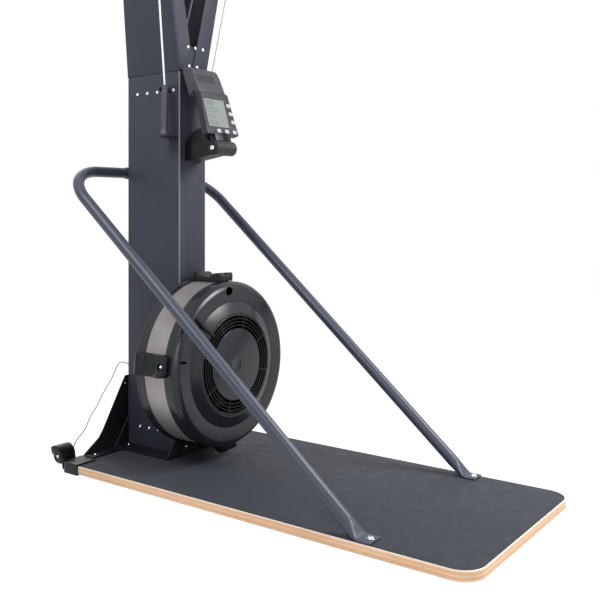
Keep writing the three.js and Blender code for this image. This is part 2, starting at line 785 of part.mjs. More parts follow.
function handrail() {
  const axisX = vec(1, 0, 0);
  const outwards = vec(-1, 0, 0);
  const footZ = plateBottom + railFootThickness / 2;
  const corner = vec(-railTopHalfWidth, railY, railTopHeight);
  const heel = vec(-railHeelHalfWidth, railFootY, footZ + railHeelRise);
  const down = heel.clone().sub(corner).normalize();
  const side = down.clone().cross(axisX).normalize();
  const rings = [];
  const put = (centre, tangent, flat) => {
    const square = side.clone().addScaledVector(tangent, -side.dot(tangent)).normalize();
    const other = tangent.clone().cross(square).normalize();
    const high = railRadius + (railFootThickness / 2 - railRadius) * flat;
    const wide = railRadius + (railFootHalf - railRadius) * flat;
    rings.push(ring(centre, square.multiplyScalar(high), other.multiplyScalar(wide), railSides,
      flat * railFootSquareness));
  };
  put(vec(-railInnerEnd, railY, railTopHeight), outwards, 0);
  // The bend is an arc that meets the level stretch and the slanted one
  const bendAngle = outwards.angleTo(down);
  const inwards = down.clone().addScaledVector(outwards, -outwards.dot(down)).normalize();
  const centre = corner.clone().addScaledVector(outwards, -railBend * Math.tan(bendAngle / 2))
    .addScaledVector(inwards, railBend);
  for (let i = 0; i <= railBendSteps; i++) {
    const angle = bendAngle * i / railBendSteps;
    const place = centre.clone().addScaledVector(inwards, -railBend * Math.cos(angle))
      .addScaledVector(outwards, railBend * Math.sin(angle));
    const tangent = outwards.clone().multiplyScalar(Math.cos(angle))
      .addScaledVector(inwards, Math.sin(angle));
    put(place, tangent, 0);
  }
  // The last stretch flattens and levels out into the foot that is bolted to the deck
  const ahead = vec(0, -1, 0);
  const squash = railRadius * squashShare;
  for (const [backShare, flatShare, levelShare] of squashShares) {
    const place = heel.clone().addScaledVector(down, -squash * backShare);
    place.z += (footZ - heel.z) * levelShare;
    place.y -= squash * levelShare * squashLeanShare;
    put(place, down.clone().lerp(ahead, levelShare).normalize(), flatShare);
  }
  put(vec(-railFootHalfWidth, railFootY - squash * footStartShare, footZ), ahead, 1);
  put(vec(-railFootHalfWidth, railToeY, footZ), ahead, 1);
  return loft(rings);
}

add('rail_sleeve', railSleeve(), blackSteel);
addPair('handrail', handrail(), railPaint);

// Fan: rear housing, mesh band, front cover, damper ring, centre grille and clips
const fanCentre = [0, 0, fanHeight];

function fanRearHousing() {
  const lip = fanRadius + 2 * seat;
  const bore = carrierRadius + seat;
  const neck = housingRimY - 2 * housingRimEdge;
  return turned([
    [bore, housingBackY], [housingBackRadius, housingBackY], [housingRimRadius, housingRimY],
    [housingRimRadius, housingRimY - housingRimEdge], [lip, neck], [lip, meshRearY],
    [lip - fanShell, meshRearY], [lip - fanShell, neck],
    [housingBackRadius - fanShell, housingBackY - fanShell],
    [bore, housingBackY - fanShell],
  ], 'y', rimFacets, fanCentre);
}

function fanMeshBand() {
  const outer = fanRadius - seat * 4;
  return turned([[outer - meshThickness, coverRearY + seat], [outer, coverRearY + seat],
    [outer, meshRearY - seat], [outer - meshThickness, meshRearY - seat]], 'y', rimFacets, fanCentre);
}

function fanFrontCover() {
  const lip = ringOuterRadius + 3 * seat;
  const r = fanRadius;
  const face = fanFaceY;
  const run = r - fanFaceRadius;
  const shoulderY = face + shoulderDepth;
  const flange = lip + fanShell;
  return turned([
    [lip, ringOuterY], [fanFaceRadius, face],
    [fanFaceRadius + run * shoulderRunShare, face + shoulderDepth * shoulderDropShare],
    [r, shoulderY], [r, coverRearY], [r - fanShell, coverRearY], [r - fanShell, shoulderY],
    [fanFaceRadius, face + fanShell], [flange, ringOuterY + fanShell], [flange, coverFlangeY + fanShell],
    [coverFlangeRadius, coverFlangeY + fanShell], [coverFlangeRadius, coverFlangeY], [lip, coverFlangeY],
  ], 'y', rimFacets, fanCentre);
}

function damperRing() {
  const wall = ringInnerRadius + ringShell;
  const foot = coverFlangeY - ringShell - 2 * seat;
  const body = turned([
    [ringInnerRadius, foot], [ringInnerRadius, ringInnerY + 3 * seat], [wall, ringInnerY],
    [ringOuterRadius, ringOuterY], [ringOuterRadius, ringOuterY + ringShell],
    [wall, ringInnerY + ringShell], [wall, foot],
  ], 'y', rimFacets);
  // The lever stands on the ring's cone and runs out over the cover's face
  const front = ringInnerY - leverStand;
  const tipFront = fanFaceY - leverThickness - 3 * seat;
  const tipRear = tipFront + leverThickness;
  const inboard = ringInnerRadius + ringShell / 2;
  const side = outline([
    [leverInner, front], [inboard, front], [ringOuterRadius + ringShell, tipFront], [leverOuter, tipFront],
    [leverOuter, tipRear], [ringOuterRadius, tipRear],
    [ringOuterRadius - 2 * ringShell, ringOuterY - ringShell / 2],
    [wall + ringShell, ringInnerY + ringShell], [inboard, ringInnerY - ringShell / 2],
    [leverInner, ringInnerY - ringShell / 2],
  ]);
  const bar = slabZ(side, -leverWidth / 2, leverWidth / 2);
  const lever = turnedY(bar, -THREE.MathUtils.degToRad(leverAngleDeg));
  return moved(join(body, lever), new THREE.Matrix4().makeTranslation(...fanCentre));
}

function centreGrille() {
  const front = grilleDiscY;
  const ringFront = front + 5 * seat;
  const back = ringFront + grilleDepth;
  const disc = turned([[0, front], [grilleDiscRadius, front], [grilleDiscRadius, back],
    [grilleDiscRadius - fanShell, back], [grilleDiscRadius - fanShell, front + grilleDiscThickness],
    [0, front + grilleDiscThickness]], 'y', midFacets);
  const wallOuter = ringInnerRadius - 3 * runGap;
  const wallInner = wallOuter - grilleWallWidth;
  const foot = coverFlangeY - seat;
  const wall = turned([[wallInner, ringFront], [wallOuter, ringFront], [wallOuter, foot - fanShell],
    [grilleFootRadius, foot - fanShell], [grilleFootRadius, foot], [wallInner, foot]], 'y', rimFacets);
  const pitch = (wallInner - grilleDiscRadius) / (grilleRingCount + 1);
  const half = grilleRingWidth / 2;
  const rings = Array.from({ length: grilleRingCount }, (_, k) => {
    const r = grilleDiscRadius + pitch * (k + 1);
    return turned([[r - half, ringFront], [r + half, ringFront], [r + half, back], [r - half, back]],
      'y', midFacets);
  });
  const ribs = Array.from({ length: grilleRibCount }, (_, k) => turnedY(
    block([grilleDiscRadius - fanShell / 2, wallInner + 3 * seat], [ringFront, back],
      [-grilleRibWidth / 2, grilleRibWidth / 2]),
    -THREE.MathUtils.degToRad(grilleRibStartDeg + 360 * k / grilleRibCount)));
  return moved(join(disc, wall, ...rings, ...ribs), new THREE.Matrix4().makeTranslation(...fanCentre));
}

// A clip bridges the mesh from the cover's rim to the housing's rim; modelled at the top, then turned
function fanClip(angleDeg) {
  const base = fanRadius - fanShell;
  const low = fanRadius + clipWaist;
  const high = fanRadius + clipStand;
  const front = clipFrontY;
  const rear = clipRearY;
  const length = rear - front;
  const side = outline([
    [front, base], [front, low - fanShell], ...humpShares.map(([alongShare, riseShare]) =>
      [front + length * alongShare, low + (high - low) * riseShare]),
    [rear, low], [rear, base],
  ]);
  const bar = slabX(side, -clipWidth / 2, clipWidth / 2);
  const grow = 1 / Math.cos(Math.PI / rimFacets);
  const neck = housingRimY - 2 * housingRimEdge;
  const drum = rod((fanRadius + 2 * seat) * grow + seat, 'y', front - overrun, neck - seat, rimFacets);
  const rim = rod(housingRimRadius * grow + seat, 'y', neck - seat * 2, rear + overrun, rimFacets);
  const edge = clipWidth * clipEdgeShare;
  const shave = [-1, 1].map((s) => slabY(outline([
    [s * (clipWidth / 2 + seat), high - edge], [s * (clipWidth / 2 + seat), high + edge],
    [s * (clipWidth / 2 - edge), high + edge]]), front - overrun, rear + overrun));
  const pocket = rod(clipPocketRadius, 'z', high - clipPocketDepth, high + overrun, pinFacets,
    [0, front + length * pocketShare, 0]);
  const clip = cut(bar, drum, rim, pocket, ...shave);
  const turn = THREE.MathUtils.degToRad(angleDeg) - quarterTurn;
  return moved(turnedY(clip, -turn), new THREE.Matrix4().makeTranslation(...fanCentre));
}

add('fan_rear_housing', fanRearHousing(), fanPlastic);
add('fan_mesh_band', fanMeshBand(), paleMesh);
add('fan_front_cover', fanFrontCover(), fanPlastic);
add('damper_ring', damperRing(), fanPlastic);
add('centre_grille', centreGrille(), fanPlastic);
for (const [side, angle] of Object.entries(clipAnglesDeg)) {
  add(`fan_clip_${side}`, fanClip(angle), blackPlastic);
}

// Fan wheel with its slanted blades, on an axle that runs back into the column
function fanWheel() {
  const bore = axleRadius + seat;
  const back = wheelDiscY + wheelDiscThickness;
  const disc = turned([
    [bore, hubFrontY], [hubRadius * hubNoseShare, hubFrontY], [hubRadius, wheelDiscY],
    [fanWheelRadius, wheelDiscY],
    [fanWheelRadius, back], [hubRadius, back], [hubRadius, hubRearY], [bore, hubRearY],
  ], 'y', midFacets);
  const shroudBack = bladeFrontY + shroudDepth;
  const shroud = turned([
    [fanWheelRadius - shroudWidth, bladeFrontY], [fanWheelRadius, bladeFrontY],
    [fanWheelRadius, shroudBack], [fanWheelRadius - shroudWidth, shroudBack],
  ], 'y', midFacets);
  const reach = fanWheelRadius - shroudWidth / 2;
  const slant = THREE.MathUtils.degToRad(bladeSlantDeg);
  const chord = Math.sqrt(reach ** 2 - (bladeInner * Math.sin(slant)) ** 2) - bladeInner * Math.cos(slant);
  const half = bladeThickness / 2;
  const blade = moved(block([0, chord], [shroudBack - 3 * seat, wheelDiscY + 3 * seat], [-half, half]),
    new THREE.Matrix4().makeTranslation(bladeInner, 0, 0)
      .multiply(new THREE.Matrix4().makeRotationY(-slant)));
  const blades = Array.from({ length: bladeCount }, (_, k) => turnedY(blade, 2 * Math.PI * k / bladeCount));
  return moved(join(disc, shroud, ...blades), new THREE.Matrix4().makeTranslation(...fanCentre));
}

function fanAxle() {
  const nutFront = hubFrontY - axleNutLength;
  return turned([
    [0, axleFrontY], [axleRadius, axleFrontY], [axleRadius, nutFront], [axleNutRadius, nutFront],
    [axleNutRadius, hubFrontY - seat], [axleRadius, hubFrontY - seat], [axleRadius, hubRearY + seat],
    [axleCollarRadius, hubRearY + seat], [axleCollarRadius, carrierFrontY - 3 * seat],
    [axleRadius, carrierFrontY - 3 * seat], [axleRadius, axleRearY], [0, axleRearY],
  ], 'y', smallFacets, fanCentre);
}

function bearingCarrier() {
  const seatRadius = bearingRadius + seat;
  const seatRear = carrierFrontY + seat * 2 + bearingWidth;
  const flangeFront = housingBackY + seat;
  const flangeRear = mastFrontY - seat;
  return turned([
    [seatRadius, carrierFrontY], [carrierRadius, carrierFrontY], [carrierRadius, flangeFront],
    [carrierFlangeRadius, flangeFront], [carrierFlangeRadius, flangeRear], [carrierRadius, flangeRear],
    [carrierRadius, carrierRearY], [carrierBore, carrierRearY], [carrierBore, seatRear],
    [seatRadius, seatRear],
  ], 'y', smallFacets, fanCentre);
}

function frontBearing() {
  const front = carrierFrontY + seat;
  const bore = axleRadius + runGap;
  return turned([[bore, front], [bearingRadius, front], [bearingRadius, front + bearingWidth],
    [bore, front + bearingWidth]], 'y', smallFacets, fanCentre);
}

function rearBearingBlock() {
  const bore = axleRadius + runGap;
  const y0 = rearBlockY;
  const y1 = y0 + rearBlockDepth;
  const boss = rod(rearBlockRadius, 'y', y0, y1, smallFacets, fanCentre);
  const half = mastInner - seat;
  const [z0, z1] = [fanHeight - rearBlockHalf, fanHeight + rearBlockHalf];
  const plate = block([-half, half], [y1 - rearBlockPlate, y1], [z0, z1]);
  const ear = block([-half, -half + rearBlockPlate], [y1 - rearBlockPlate, y1 + rearBlockDepth], [z0, z1]);
  const hole = rod(bore, 'y', y0 - overrun, y1 + overrun, smallFacets, fanCentre);
  return cut(join(boss, plate, ear, mirrored(ear)), hole);
}

add('fan_wheel', fanWheel(), castIron);
add('fan_axle', fanAxle(), steel);
add('bearing_carrier', bearingCarrier(), blackSteel);
add('front_bearing', frontBearing(), steel);
add('rear_bearing_block', rearBearingBlock(), castIron);

// Grooved wheel for a rope whose centre line lies at the given radius
function groovedWheel(ropeAt, flange, width, bore) {
  const floor = ropeAt - ropeRadius - ropeGrooveGap;
  const half = width / 2;
  const lip = half - flangeLip;
  return [[bore, -half], [flange, -half], [flange, -lip], [floor, -ropeRadius], [floor, ropeRadius],
    [flange, lip], [flange, half], [bore, half]];
}

function drum(side) {
  return turned(groovedWheel(ropeX, drumFlangeRadius, drumWidth, axleRadius + runGap), 'y', drumFacets,
    [0, guideY[side], fanHeight]);
}

const guideX = { left: ropeX - guideRadius, right: ropeX + guideRadius };
function guidePulley(side) {
  const profile = groovedWheel(guideRadius, guideFlangeRadius, guideWidth, guidePinRadius + runGap);
  return turned(profile, 'y', pinFacets, [guideX[side], guideY[side], guideHeight]);
}

function guideBracket() {
  const half = mastInner - seat - armTongueWall - seat;
  const middle = (drumLeftY + drumRightY) / 2;
  const plate = block([-half, half], [middle - guidePlateThickness / 2, middle + guidePlateThickness / 2],
    [guideHeight - guidePlateHalfHeight, guideHeight + guidePlateHalfHeight]);
  const pins = ['left', 'right'].map((side) => {
    const far = guideY[side] + Math.sign(guideY[side] - middle) * (guideWidth / 2 + 2 * pulleyFloat);
    return rod(guidePinRadius, 'y', Math.min(middle, far), Math.max(middle, far), pinFacets,
      [guideX[side], 0, guideHeight]);
  });
  return join(plate, ...pins);
}

for (const side of ['left', 'right']) {
  add(`drive_drum_${side}`, drum(side), castIron);
  add(`guide_pulley_${side}`, guidePulley(side), blackPlastic);
}
add('guide_bracket', guideBracket(), blackSteel);

// Top pulleys: each stands square on the line from the handle's rope to the drive rope inside the arm.
// The handle's rope leans, so it touches the pulley a little below the height of the pulley's centre.
const blockTurn = THREE.MathUtils.degToRad(blockTurnDeg);
const across = vec(Math.cos(blockTurn), Math.sin(blockTurn), 0);
const handleRopeEnd = vec(-handleX, handleY, handleTop + 4 * seat);
const ropeLine = vec(-ropeTopX, ropeTopY, topPulleyHeight).sub(handleRopeEnd).normalize();
const lean = Math.atan(-ropeLine.dot(across) / ropeLine.z);
const touchRise = topPulleyHeight - topPulleyRadius * Math.sin(lean) - handleRopeEnd.z;
const touch = handleRopeEnd.clone().addScaledVector(ropeLine, touchRise / ropeLine.z);
const pulleyCentre = touch.clone().addScaledVector(across, topPulleyRadius * Math.cos(lean));
pulleyCentre.z = topPulleyHeight;
const ropeHinge = touch.clone().addScaledVector(ropeLine, -ropeHingeDrop);
const blockFrame = new THREE.Matrix4().makeTranslation(...pulleyCentre.toArray())
  .multiply(new THREE.Matrix4().makeRotationZ(blockTurn));

function topPulley() {
  const wheel = turned(groovedWheel(topPulleyRadius, topPulleyFlange, topPulleyWidth, topPinRadius + runGap),
    'y', midFacets);
  return moved(wheel, blockFrame);
}

// The drive rope's straight run, from the inner side of a top pulley down to its guide pulley
function driveRun(side) {
  const hub = pulleyCentre.clone();
  const along = across.clone();
  if (side === 'right') {
    hub.x *= -1;
    along.x *= -1;
  }
  const guide = vec(guideX[side], guideY[side], guideHeight);
  const start = hub.clone().addScaledVector(along, topPulleyRadius);
  const fall = guide.clone().sub(start).normalize();
  const rise = Math.atan(-fall.dot(along) / fall.z);
  start.copy(hub).addScaledVector(along, topPulleyRadius * Math.cos(rise));
  start.z += topPulleyRadius * Math.sin(rise);
  return { hub, along, start, fall, rise, guide };
}

function pulleyBlock() {
  const inside = topPulleyWidth / 2 + pulleyFloat;
  const outside = inside + cheekThickness;
  const r = topPulleyFlange;
  const base = -blockRise - seat;
  const cheekShape = outline([[-r * 0.3, base], [r, base], [r * 1.04, -r * 0.5], [r * 0.85, r * 0.6],
    [r * 0.45, r * 1.16], [-r * 0.25, r * 1.16], [-r * 0.44, r * 0.6], [-r * 0.4, 0]]);
  const cheek = slabY(cheekShape, inside, outside);
  const other = slabY(cheekShape, -outside, -inside);
  const guard = block([-r * 0.25, r * 0.45], [-outside, outside], [r * 1.08, r * 1.16]);
  const pin = rod(topPinRadius, 'y', -outside - cheekThickness, outside + cheekThickness, pinFacets);
  const upright = moved(join(cheek, other, guard, pin), blockFrame);
  const z0 = armTop + seat;
  const h = armTop - mastSeamHeight;
  const armOuter = mastHalf + armLeanOut * h + blockMargin;
  const armInner = armInnerStart + armInnerLean * (armTop - armVHeight) - blockMargin;
  const armFront = mastFrontY - armLeanFront * h - 2 * blockMargin;
  const armRear = mastRearY - armLeanRear * h + blockMargin;
  const lid = block([-armOuter, -armInner], [armFront, armRear], [z0, z0 + blockPlate]);
  const stand = moved(block([-r * 0.3, r], [-outside, outside], [-blockRise - blockPlate, -blockRise]),
    blockFrame);
  const runs = ['left', 'right'].map((side) => {
    const { start, fall } = driveRun(side);
    return start.addScaledVector(fall, (z0 + blockPlate / 2 - start.z) / fall.z);
  });
  const hole = rod(ropeHoleRadius, 'z', z0 - overrun, z0 + 2 * blockPlate, pinFacets,
    [-(Math.abs(runs[0].x) + Math.abs(runs[1].x)) / 2, (runs[0].y + runs[1].y) / 2, 0]);
  const eye = moved(block([topPulleyRadius - ropeRadius, topPulleyRadius + 4 * ropeRadius],
    [-inside, inside], [-blockRise - 2 * blockPlate, -blockRise + blockPlate]), blockFrame);
  return join(cut(join(lid, stand), hole, eye), upright);
}

addPair('top_pulley', topPulley(), blackPlastic);
addPair('pulley_block', pulleyBlock(), blackSteel);

// Handle ropes hang outside the arms; drive ropes run over the pulleys, down the arms and onto the drums
const ropeSides = 8;

function driveRope(side) {
  const { hub, along, start, rise, guide } = driveRun(side);
  const mirror = side === 'left' ? 1 : -1;
  const points = [ropeHinge, touch].map((point) => vec(point.x * mirror, point.y, point.z));
  const wrap = Math.PI + lean - rise;
  for (let i = 1; i <= pulleyWrapSteps; i++) {
    const angle = Math.PI + lean - wrap * i / pulleyWrapSteps;
    points.push(hub.clone().addScaledVector(along, topPulleyRadius * Math.cos(angle))
      .add(vec(0, 0, topPulleyRadius * Math.sin(angle))));
  }
  const slope = Math.atan2(Math.abs(start.x - guide.x), start.z - guide.z);
  for (let i = 0; i <= 2; i++) {
    const angle = slope * (1 - i / 2);
    points.push(guide.clone().add(vec(mirror * guideRadius * Math.cos(angle), 0,
      guideRadius * Math.sin(angle))));
  }
  for (let i = 0; i <= drumWrapSteps; i++) {
    const angle = -2 * Math.PI * drumWrapTurns * i / drumWrapSteps;
    points.push(vec(ropeX * Math.cos(angle), guideY[side], fanHeight + ropeX * Math.sin(angle)));
  }
  return cord(points, ropeRadius, ropeSides);
}

const handleRopeStart = ropeHinge.clone().addScaledVector(ropeLine, -ropeHingeGap);
addPair('handle_rope', cord([handleRopeEnd, handleRopeStart], ropeRadius, ropeSides), whiteRope);
add('drive_rope_left', driveRope('left'), whiteRope);
add('drive_rope_right', driveRope('right'), whiteRope);

// Handles stand in holders that are bolted to the mast's sides
function handle() {
  const z0 = handleTop - handleLength;
  const g = handleGripRadius;
  const waist = g * gripWaistShare;
  const z = gripLengthShares.map((share) => z0 + handleLength * share);
  return turned([[0, z0], [handleFlangeRadius, z0], [handleFlangeRadius, z[0]], [waist, z[1]], [g, z[2]],
    [waist, z[3]], [handleNeckRadius, z[4]], [handleNeckRadius, z[5]], [handleNeckRadius / 2, handleTop],
    [0, handleTop]], 'z', drumFacets, [-handleX, handleY, 0]);
}

function handleHolder() {
  const x1 = -mastHalf - seat;
  const x0 = x1 - holderPlate;
  const shelfTop = handleTop - handleLength - seat;
  const plate = block([x0, x1], [holderFrontY, holderRearY], [shelfTop - holderShelf, holderTop]);
  const shelf = new THREE.Shape();
  shelf.moveTo(x1, holderFrontY);
  shelf.lineTo(-handleX, handleY - holderShelfReach);
  shelf.absarc(-handleX, handleY, holderShelfReach, 3 * quarterTurn, quarterTurn, true);
  shelf.lineTo(x1, holderRearY);
  const pegY = handleY + handleGripRadius + holderPegGap;
  const pegTop = handleTop - holderPegDrop;
  const peg = block([-holderPegReach, x1], [pegY, pegY + holderPegThickness],
    [pegTop - holderPegHeight, pegTop]);
  return join(plate, slabZ(shelf, shelfTop - holderShelf, shelfTop, 8), peg);
}

addPair('handle', handle(), rubber);
addPair('handle_holder', handleHolder(), blackSteel);

// Monitor bracket: a plate on the mast, two walls and the two halves of the pivot barrel with its pin
function monitorBracket() {
  const y1 = mastFrontY - seat;
  const centre = [0, pivotY, pivotHeight];
  const plate = block([-bracketHalf, bracketHalf], [y1 - bracketPlate, y1], [bracketBottom, bracketTop]);
  const high = pivotHeight + barrelRadius * wallEndShare;
  const low = pivotHeight - barrelRadius * wallEndShare;
  const side = outline([[y1, bracketBottom], [y1, bracketTop], [pivotY, high], [pivotY, low],
    [pivotY + barrelRadius, low]]);
  const wallIn = bracketHalf - barrelChamfer;
  const wall = slabX(side, -wallIn, -wallIn + bracketWall);
  const floorShape = outline([[y1, bracketBottom], [pivotY + barrelRadius, low],
    [pivotY + barrelRadius, low + bracketWall], [y1, bracketBottom + bracketWall]]);
  const floor = slabX(floorShape, -wallIn, wallIn);
  const clear = rod(barrelRadius + barrelChamfer, 'x', -knuckleHalf - seat, knuckleHalf + seat, smallFacets,
    centre);
  const barrel = (length) => turned([[0, -length], [barrelRadius - barrelChamfer, -length],
    [barrelRadius, -length + barrelChamfer], [barrelRadius, -knuckleHalf - seat], [0, -knuckleHalf - seat]],
  'x', smallFacets, centre);
  const pin = rod(pivotPinRadius, 'x', -knuckleHalf - pinSink, knuckleHalf + pinSink, pinFacets, centre);
  const cradle = cut(join(plate, wall, mirrored(wall), floor), clear);
  return join(cradle, barrel(barrelLeft), mirrored(barrel(barrelRight)), pin);
}

add('monitor_bracket', monitorBracket(), blackPlastic);

// The monitor is modelled upright about its pivot and leans back with its group
const monitor = new THREE.Group();
monitor.position.set(0, pivotY, pivotHeight);
monitor.rotation.x = -THREE.MathUtils.degToRad(monitorTiltDeg);
machine.add(monitor);

const keyPlaces = [];
for (let i = 0; i < 3; i++) {
  keyPlaces.push([keyColumnX + keyColumnStep * i, keyColumnTop - keyColumnPitch * i]);
}
for (let i = 0; i < 3; i++) keyPlaces.push([keyRowX - keyRowPitch * i, keyRowHeight]);

function roundedPanel(halfBottom, halfTop, z0, z1, r) {
  const shape = new THREE.Shape();
  shape.moveTo(-halfBottom + r, z0);
  shape.lineTo(halfBottom - r, z0);
  shape.quadraticCurveTo(halfBottom, z0, halfBottom, z0 + r);
  shape.lineTo(halfTop, z1 - r);
  shape.quadraticCurveTo(halfTop, z1, halfTop - r, z1);
  shape.lineTo(-halfTop + r, z1);
  shape.quadraticCurveTo(-halfTop, z1, -halfTop, z1 - r);
  shape.lineTo(-halfBottom, z0 + r);
  shape.quadraticCurveTo(-halfBottom, z0, -halfBottom + r, z0);
  return shape;
}

function monitorHousing() {
  const face = monitorFaceY;
  const back = face + monitorThickness;
  const panel = slabY(roundedPanel(monitorBottomHalf, monitorTopHalf, monitorBottom, monitorTop,
    monitorCorner), face, back - backStep, 3);
  const backPanel = slabY(roundedPanel(monitorBottomHalf - backInset, monitorTopHalf - backInset,
    monitorBottom + backInset, monitorTop - backInset, monitorCorner), back - backStep - seat, back, 3);
  const knuckle = rod(barrelRadius, 'x', -knuckleHalf, knuckleHalf, smallFacets);
  const neck = block([-knuckleHalf, knuckleHalf], [-neckDepth / 2, neckDepth / 2],
    [0, monitorBottom + backInset]);
  const wideNeck = block([-neckLeft, neckRight], [-neckDepth / 2, neckDepth / 2],
    [barrelRadius + barrelChamfer, monitorBottom + backInset]);
  const bore = rod(pivotPinRadius + runGap, 'x', -knuckleHalf - overrun, knuckleHalf + overrun, pinFacets);
  const window = block([displayLeft - seat, displayRight + seat],
    [face - overrun, face + displayRecess + displayThickness + seat],
    [displayBottom - seat, displayTop + seat]);
  const keyHoles = keyPlaces.map(([x, z]) => block(
    [x - keyWidth / 2 - seat, x + keyWidth / 2 + seat],
    [face - overrun, face - keyProud + keyDepth + keyTravel + seat],
    [z - keyHeight / 2 - seat, z + keyHeight / 2 + seat]));
  return cut(join(panel, backPanel, knuckle, neck, wideNeck), bore, window, ...keyHoles);
}

function displayWindow() {
  const y0 = monitorFaceY + displayRecess;
  return block([displayLeft, displayRight], [y0, y0 + displayThickness], [displayBottom, displayTop]);
}

function key([x, z]) {
  const y0 = monitorFaceY - keyProud;
  return slabY(roundedPanel(keyWidth / 2, keyWidth / 2, z - keyHeight / 2, z + keyHeight / 2, keyCorner), y0,
    y0 + keyDepth, 1).translate(x, 0, 0);
}

function deviceHolder() {
  const bottom = monitorTop + seat;
  const lifted = (points) => outline(points.map(([y, rise]) => [y, bottom + rise]));
  const body = slabX(lifted([...holderProfile, ...holderBack]), -holderHalf, holderHalf);
  // Hollow from behind: the face, the top, the underside and the two cheeks are one shell
  const inside = [[holderFaceY + holderShell, holderShell], ...holderProfile.slice(1, -1).map(([y, rise]) =>
    [y + holderShell, rise - holderShell / 2])];
  const [topY, topRise] = holderProfile[holderProfile.length - 1];
  const [tipY, tipRise] = holderBack[1];
  inside.push([topY, topRise - 1.5 * holderShell], [topY + 4 * overrun, topRise - 1.5 * holderShell],
    [tipY + 4 * overrun, tipRise + holderShell], [tipY, tipRise + 2 * holderShell],
    [holderBack[2][0], holderBack[2][1] + 1.5 * holderShell]);
  const hollow = slabX(lifted(inside), -holderHalf + holderShell, holderHalf - holderShell);
  const slope = Math.atan2(holderFaceRun, holderFaceRise);
  const recess = moved(block([holderRecessLeft, holderRecessRight], [-overrun, holderRecess],
    [holderRecessRise, holderRecessRise + holderRecessHeight]),
  new THREE.Matrix4().makeTranslation(0, holderFaceY, bottom)
    .multiply(new THREE.Matrix4().makeRotationX(-slope)));
  return cut(body, hollow, recess);
}

add('monitor_housing', monitorHousing(), blackPlastic, monitor);
add('display_window', displayWindow(), displayGlass, monitor);
add('device_holder', deviceHolder(), blackPlastic, monitor);
keyPlaces.forEach((place, i) => add(`key_${i + 1}`, key(place), keyPlastic, monitor));

// Lead: a thin cable from the mast's rear wall, down behind the wheel hood and into a coil on the floor
const leadRoute = [
  [-47, 630, 276], [-47, 644, 276], [-52, 649, 280], [-60, 654, 284], [-68, 658, 286], [-75, 662, 283],
  [-80, 665, 275], [-88, 667, 258], [-97, 669, 241], [-111, 671, 221], [-127, 673, 200], [-139, 675, 181],
  [-149, 677, 163], [-161, 678, 148], [-173, 680, 133], [-182, 682, 115], [-189, 684, 99], [-199, 686, 86],
  [-213, 688, 75], [-221, 690, 65], [-226, 692, 54], [-227, 694, 40], [-225, 696, 26], [-219, 697, 13],
  [-208, 698, 5], [-195, 700, 1.6], [-178, 701, 1.6], [-163, 699, 1.6], [-154, 694, 1.6], [-150.6, 687, 1.6],
];

function coilPoints() {
  const perLayer = coilLoops / 2;
  const count = Math.round(coilLoops * coilSteps);
  return Array.from({ length: count + 1 }, (_, i) => {
    const turns = coilLoops * i / count;
    const radius = coilInner + coilPitch * Math.abs(perLayer - turns);
    const climb = THREE.MathUtils.clamp((turns - perLayer) * 2 + 0.5, 0, 1);
    const angle = Math.PI + 2 * Math.PI * turns;
    return vec(coilX + radius * Math.cos(angle), coilY + radius * Math.sin(angle),
      leadRadius + seat + coilPitch * climb);
  });
}

// The coil's least gap to itself, between stretches more than half a turn apart
function coilSelfGap(points) {
  let least = Infinity;
  points.forEach((point, i) => {
    for (const other of points.slice(i + coilSteps / 2)) {
      least = Math.min(least, point.distanceTo(other) - 2 * leadRadius);
    }
  });
  return least;
}

const coil = coilPoints();
const coilStart = coil[0];
const coilEnd = coil[coil.length - 1];
const route = leadRoute.map(([x, y, z]) => vec(x, y, z));
route.push(vec(coilStart.x, coilStart.y + seat, coilStart.z));
console.log(`lead coil: least gap to itself ${coilSelfGap(coil).toFixed(2)} mm`);
add('signal_lead', cord(route, leadRadius, 8), rubber);
const coilTail = vec(coilEnd.x + coilTailLength, coilEnd.y, coilEnd.z);
add('lead_coil', cord([...coil, coilTail], leadRadius, 6), rubber);
const plugNeck = plugRadius * plugNeckShare;
const plugFlare = plugLength * plugFlareShare;
const plugStep = plugLength * plugStepShare;
const plug = turned([[0, 0], [plugNeck, 0], [plugRadius, plugFlare], [plugRadius, plugStep],
  [plugNeck, plugStep], [plugNeck, plugLength], [0, plugLength]], 'x', pinFacets,
[coilTail.x + seat, coilEnd.y, coilEnd.z]);
add('lead_plug', plug, rubber);

export default machine;
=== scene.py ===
"""Looks of the ski trainer: smooth pieces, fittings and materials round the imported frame."""
from math import atan, atan2, copysign, cos, pi, radians, sin, tan

import bmesh
import bpy
from mathutils import Matrix, Vector


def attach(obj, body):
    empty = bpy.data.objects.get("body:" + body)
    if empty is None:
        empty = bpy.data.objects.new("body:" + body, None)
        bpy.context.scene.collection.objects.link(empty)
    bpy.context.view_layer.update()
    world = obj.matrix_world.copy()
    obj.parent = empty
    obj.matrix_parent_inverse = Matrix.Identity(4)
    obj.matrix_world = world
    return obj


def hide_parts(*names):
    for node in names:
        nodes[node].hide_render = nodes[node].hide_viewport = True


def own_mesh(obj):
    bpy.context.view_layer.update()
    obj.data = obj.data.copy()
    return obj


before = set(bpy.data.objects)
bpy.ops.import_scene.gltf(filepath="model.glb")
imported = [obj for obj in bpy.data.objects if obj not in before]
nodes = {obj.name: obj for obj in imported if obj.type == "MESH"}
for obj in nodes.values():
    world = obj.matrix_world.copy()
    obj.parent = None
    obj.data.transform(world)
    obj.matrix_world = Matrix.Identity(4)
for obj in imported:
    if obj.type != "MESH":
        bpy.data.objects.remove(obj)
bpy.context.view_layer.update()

# ---- units, shared sizes and camera
MM = 0.001
SHIFT_Y = -34.5  # from the deck's centre to the frame's origin, millimetres
TAU = 2 * pi
FINE, ROUND, SMALL = 144, 64, 32  # segments of wide, middle and small round pieces

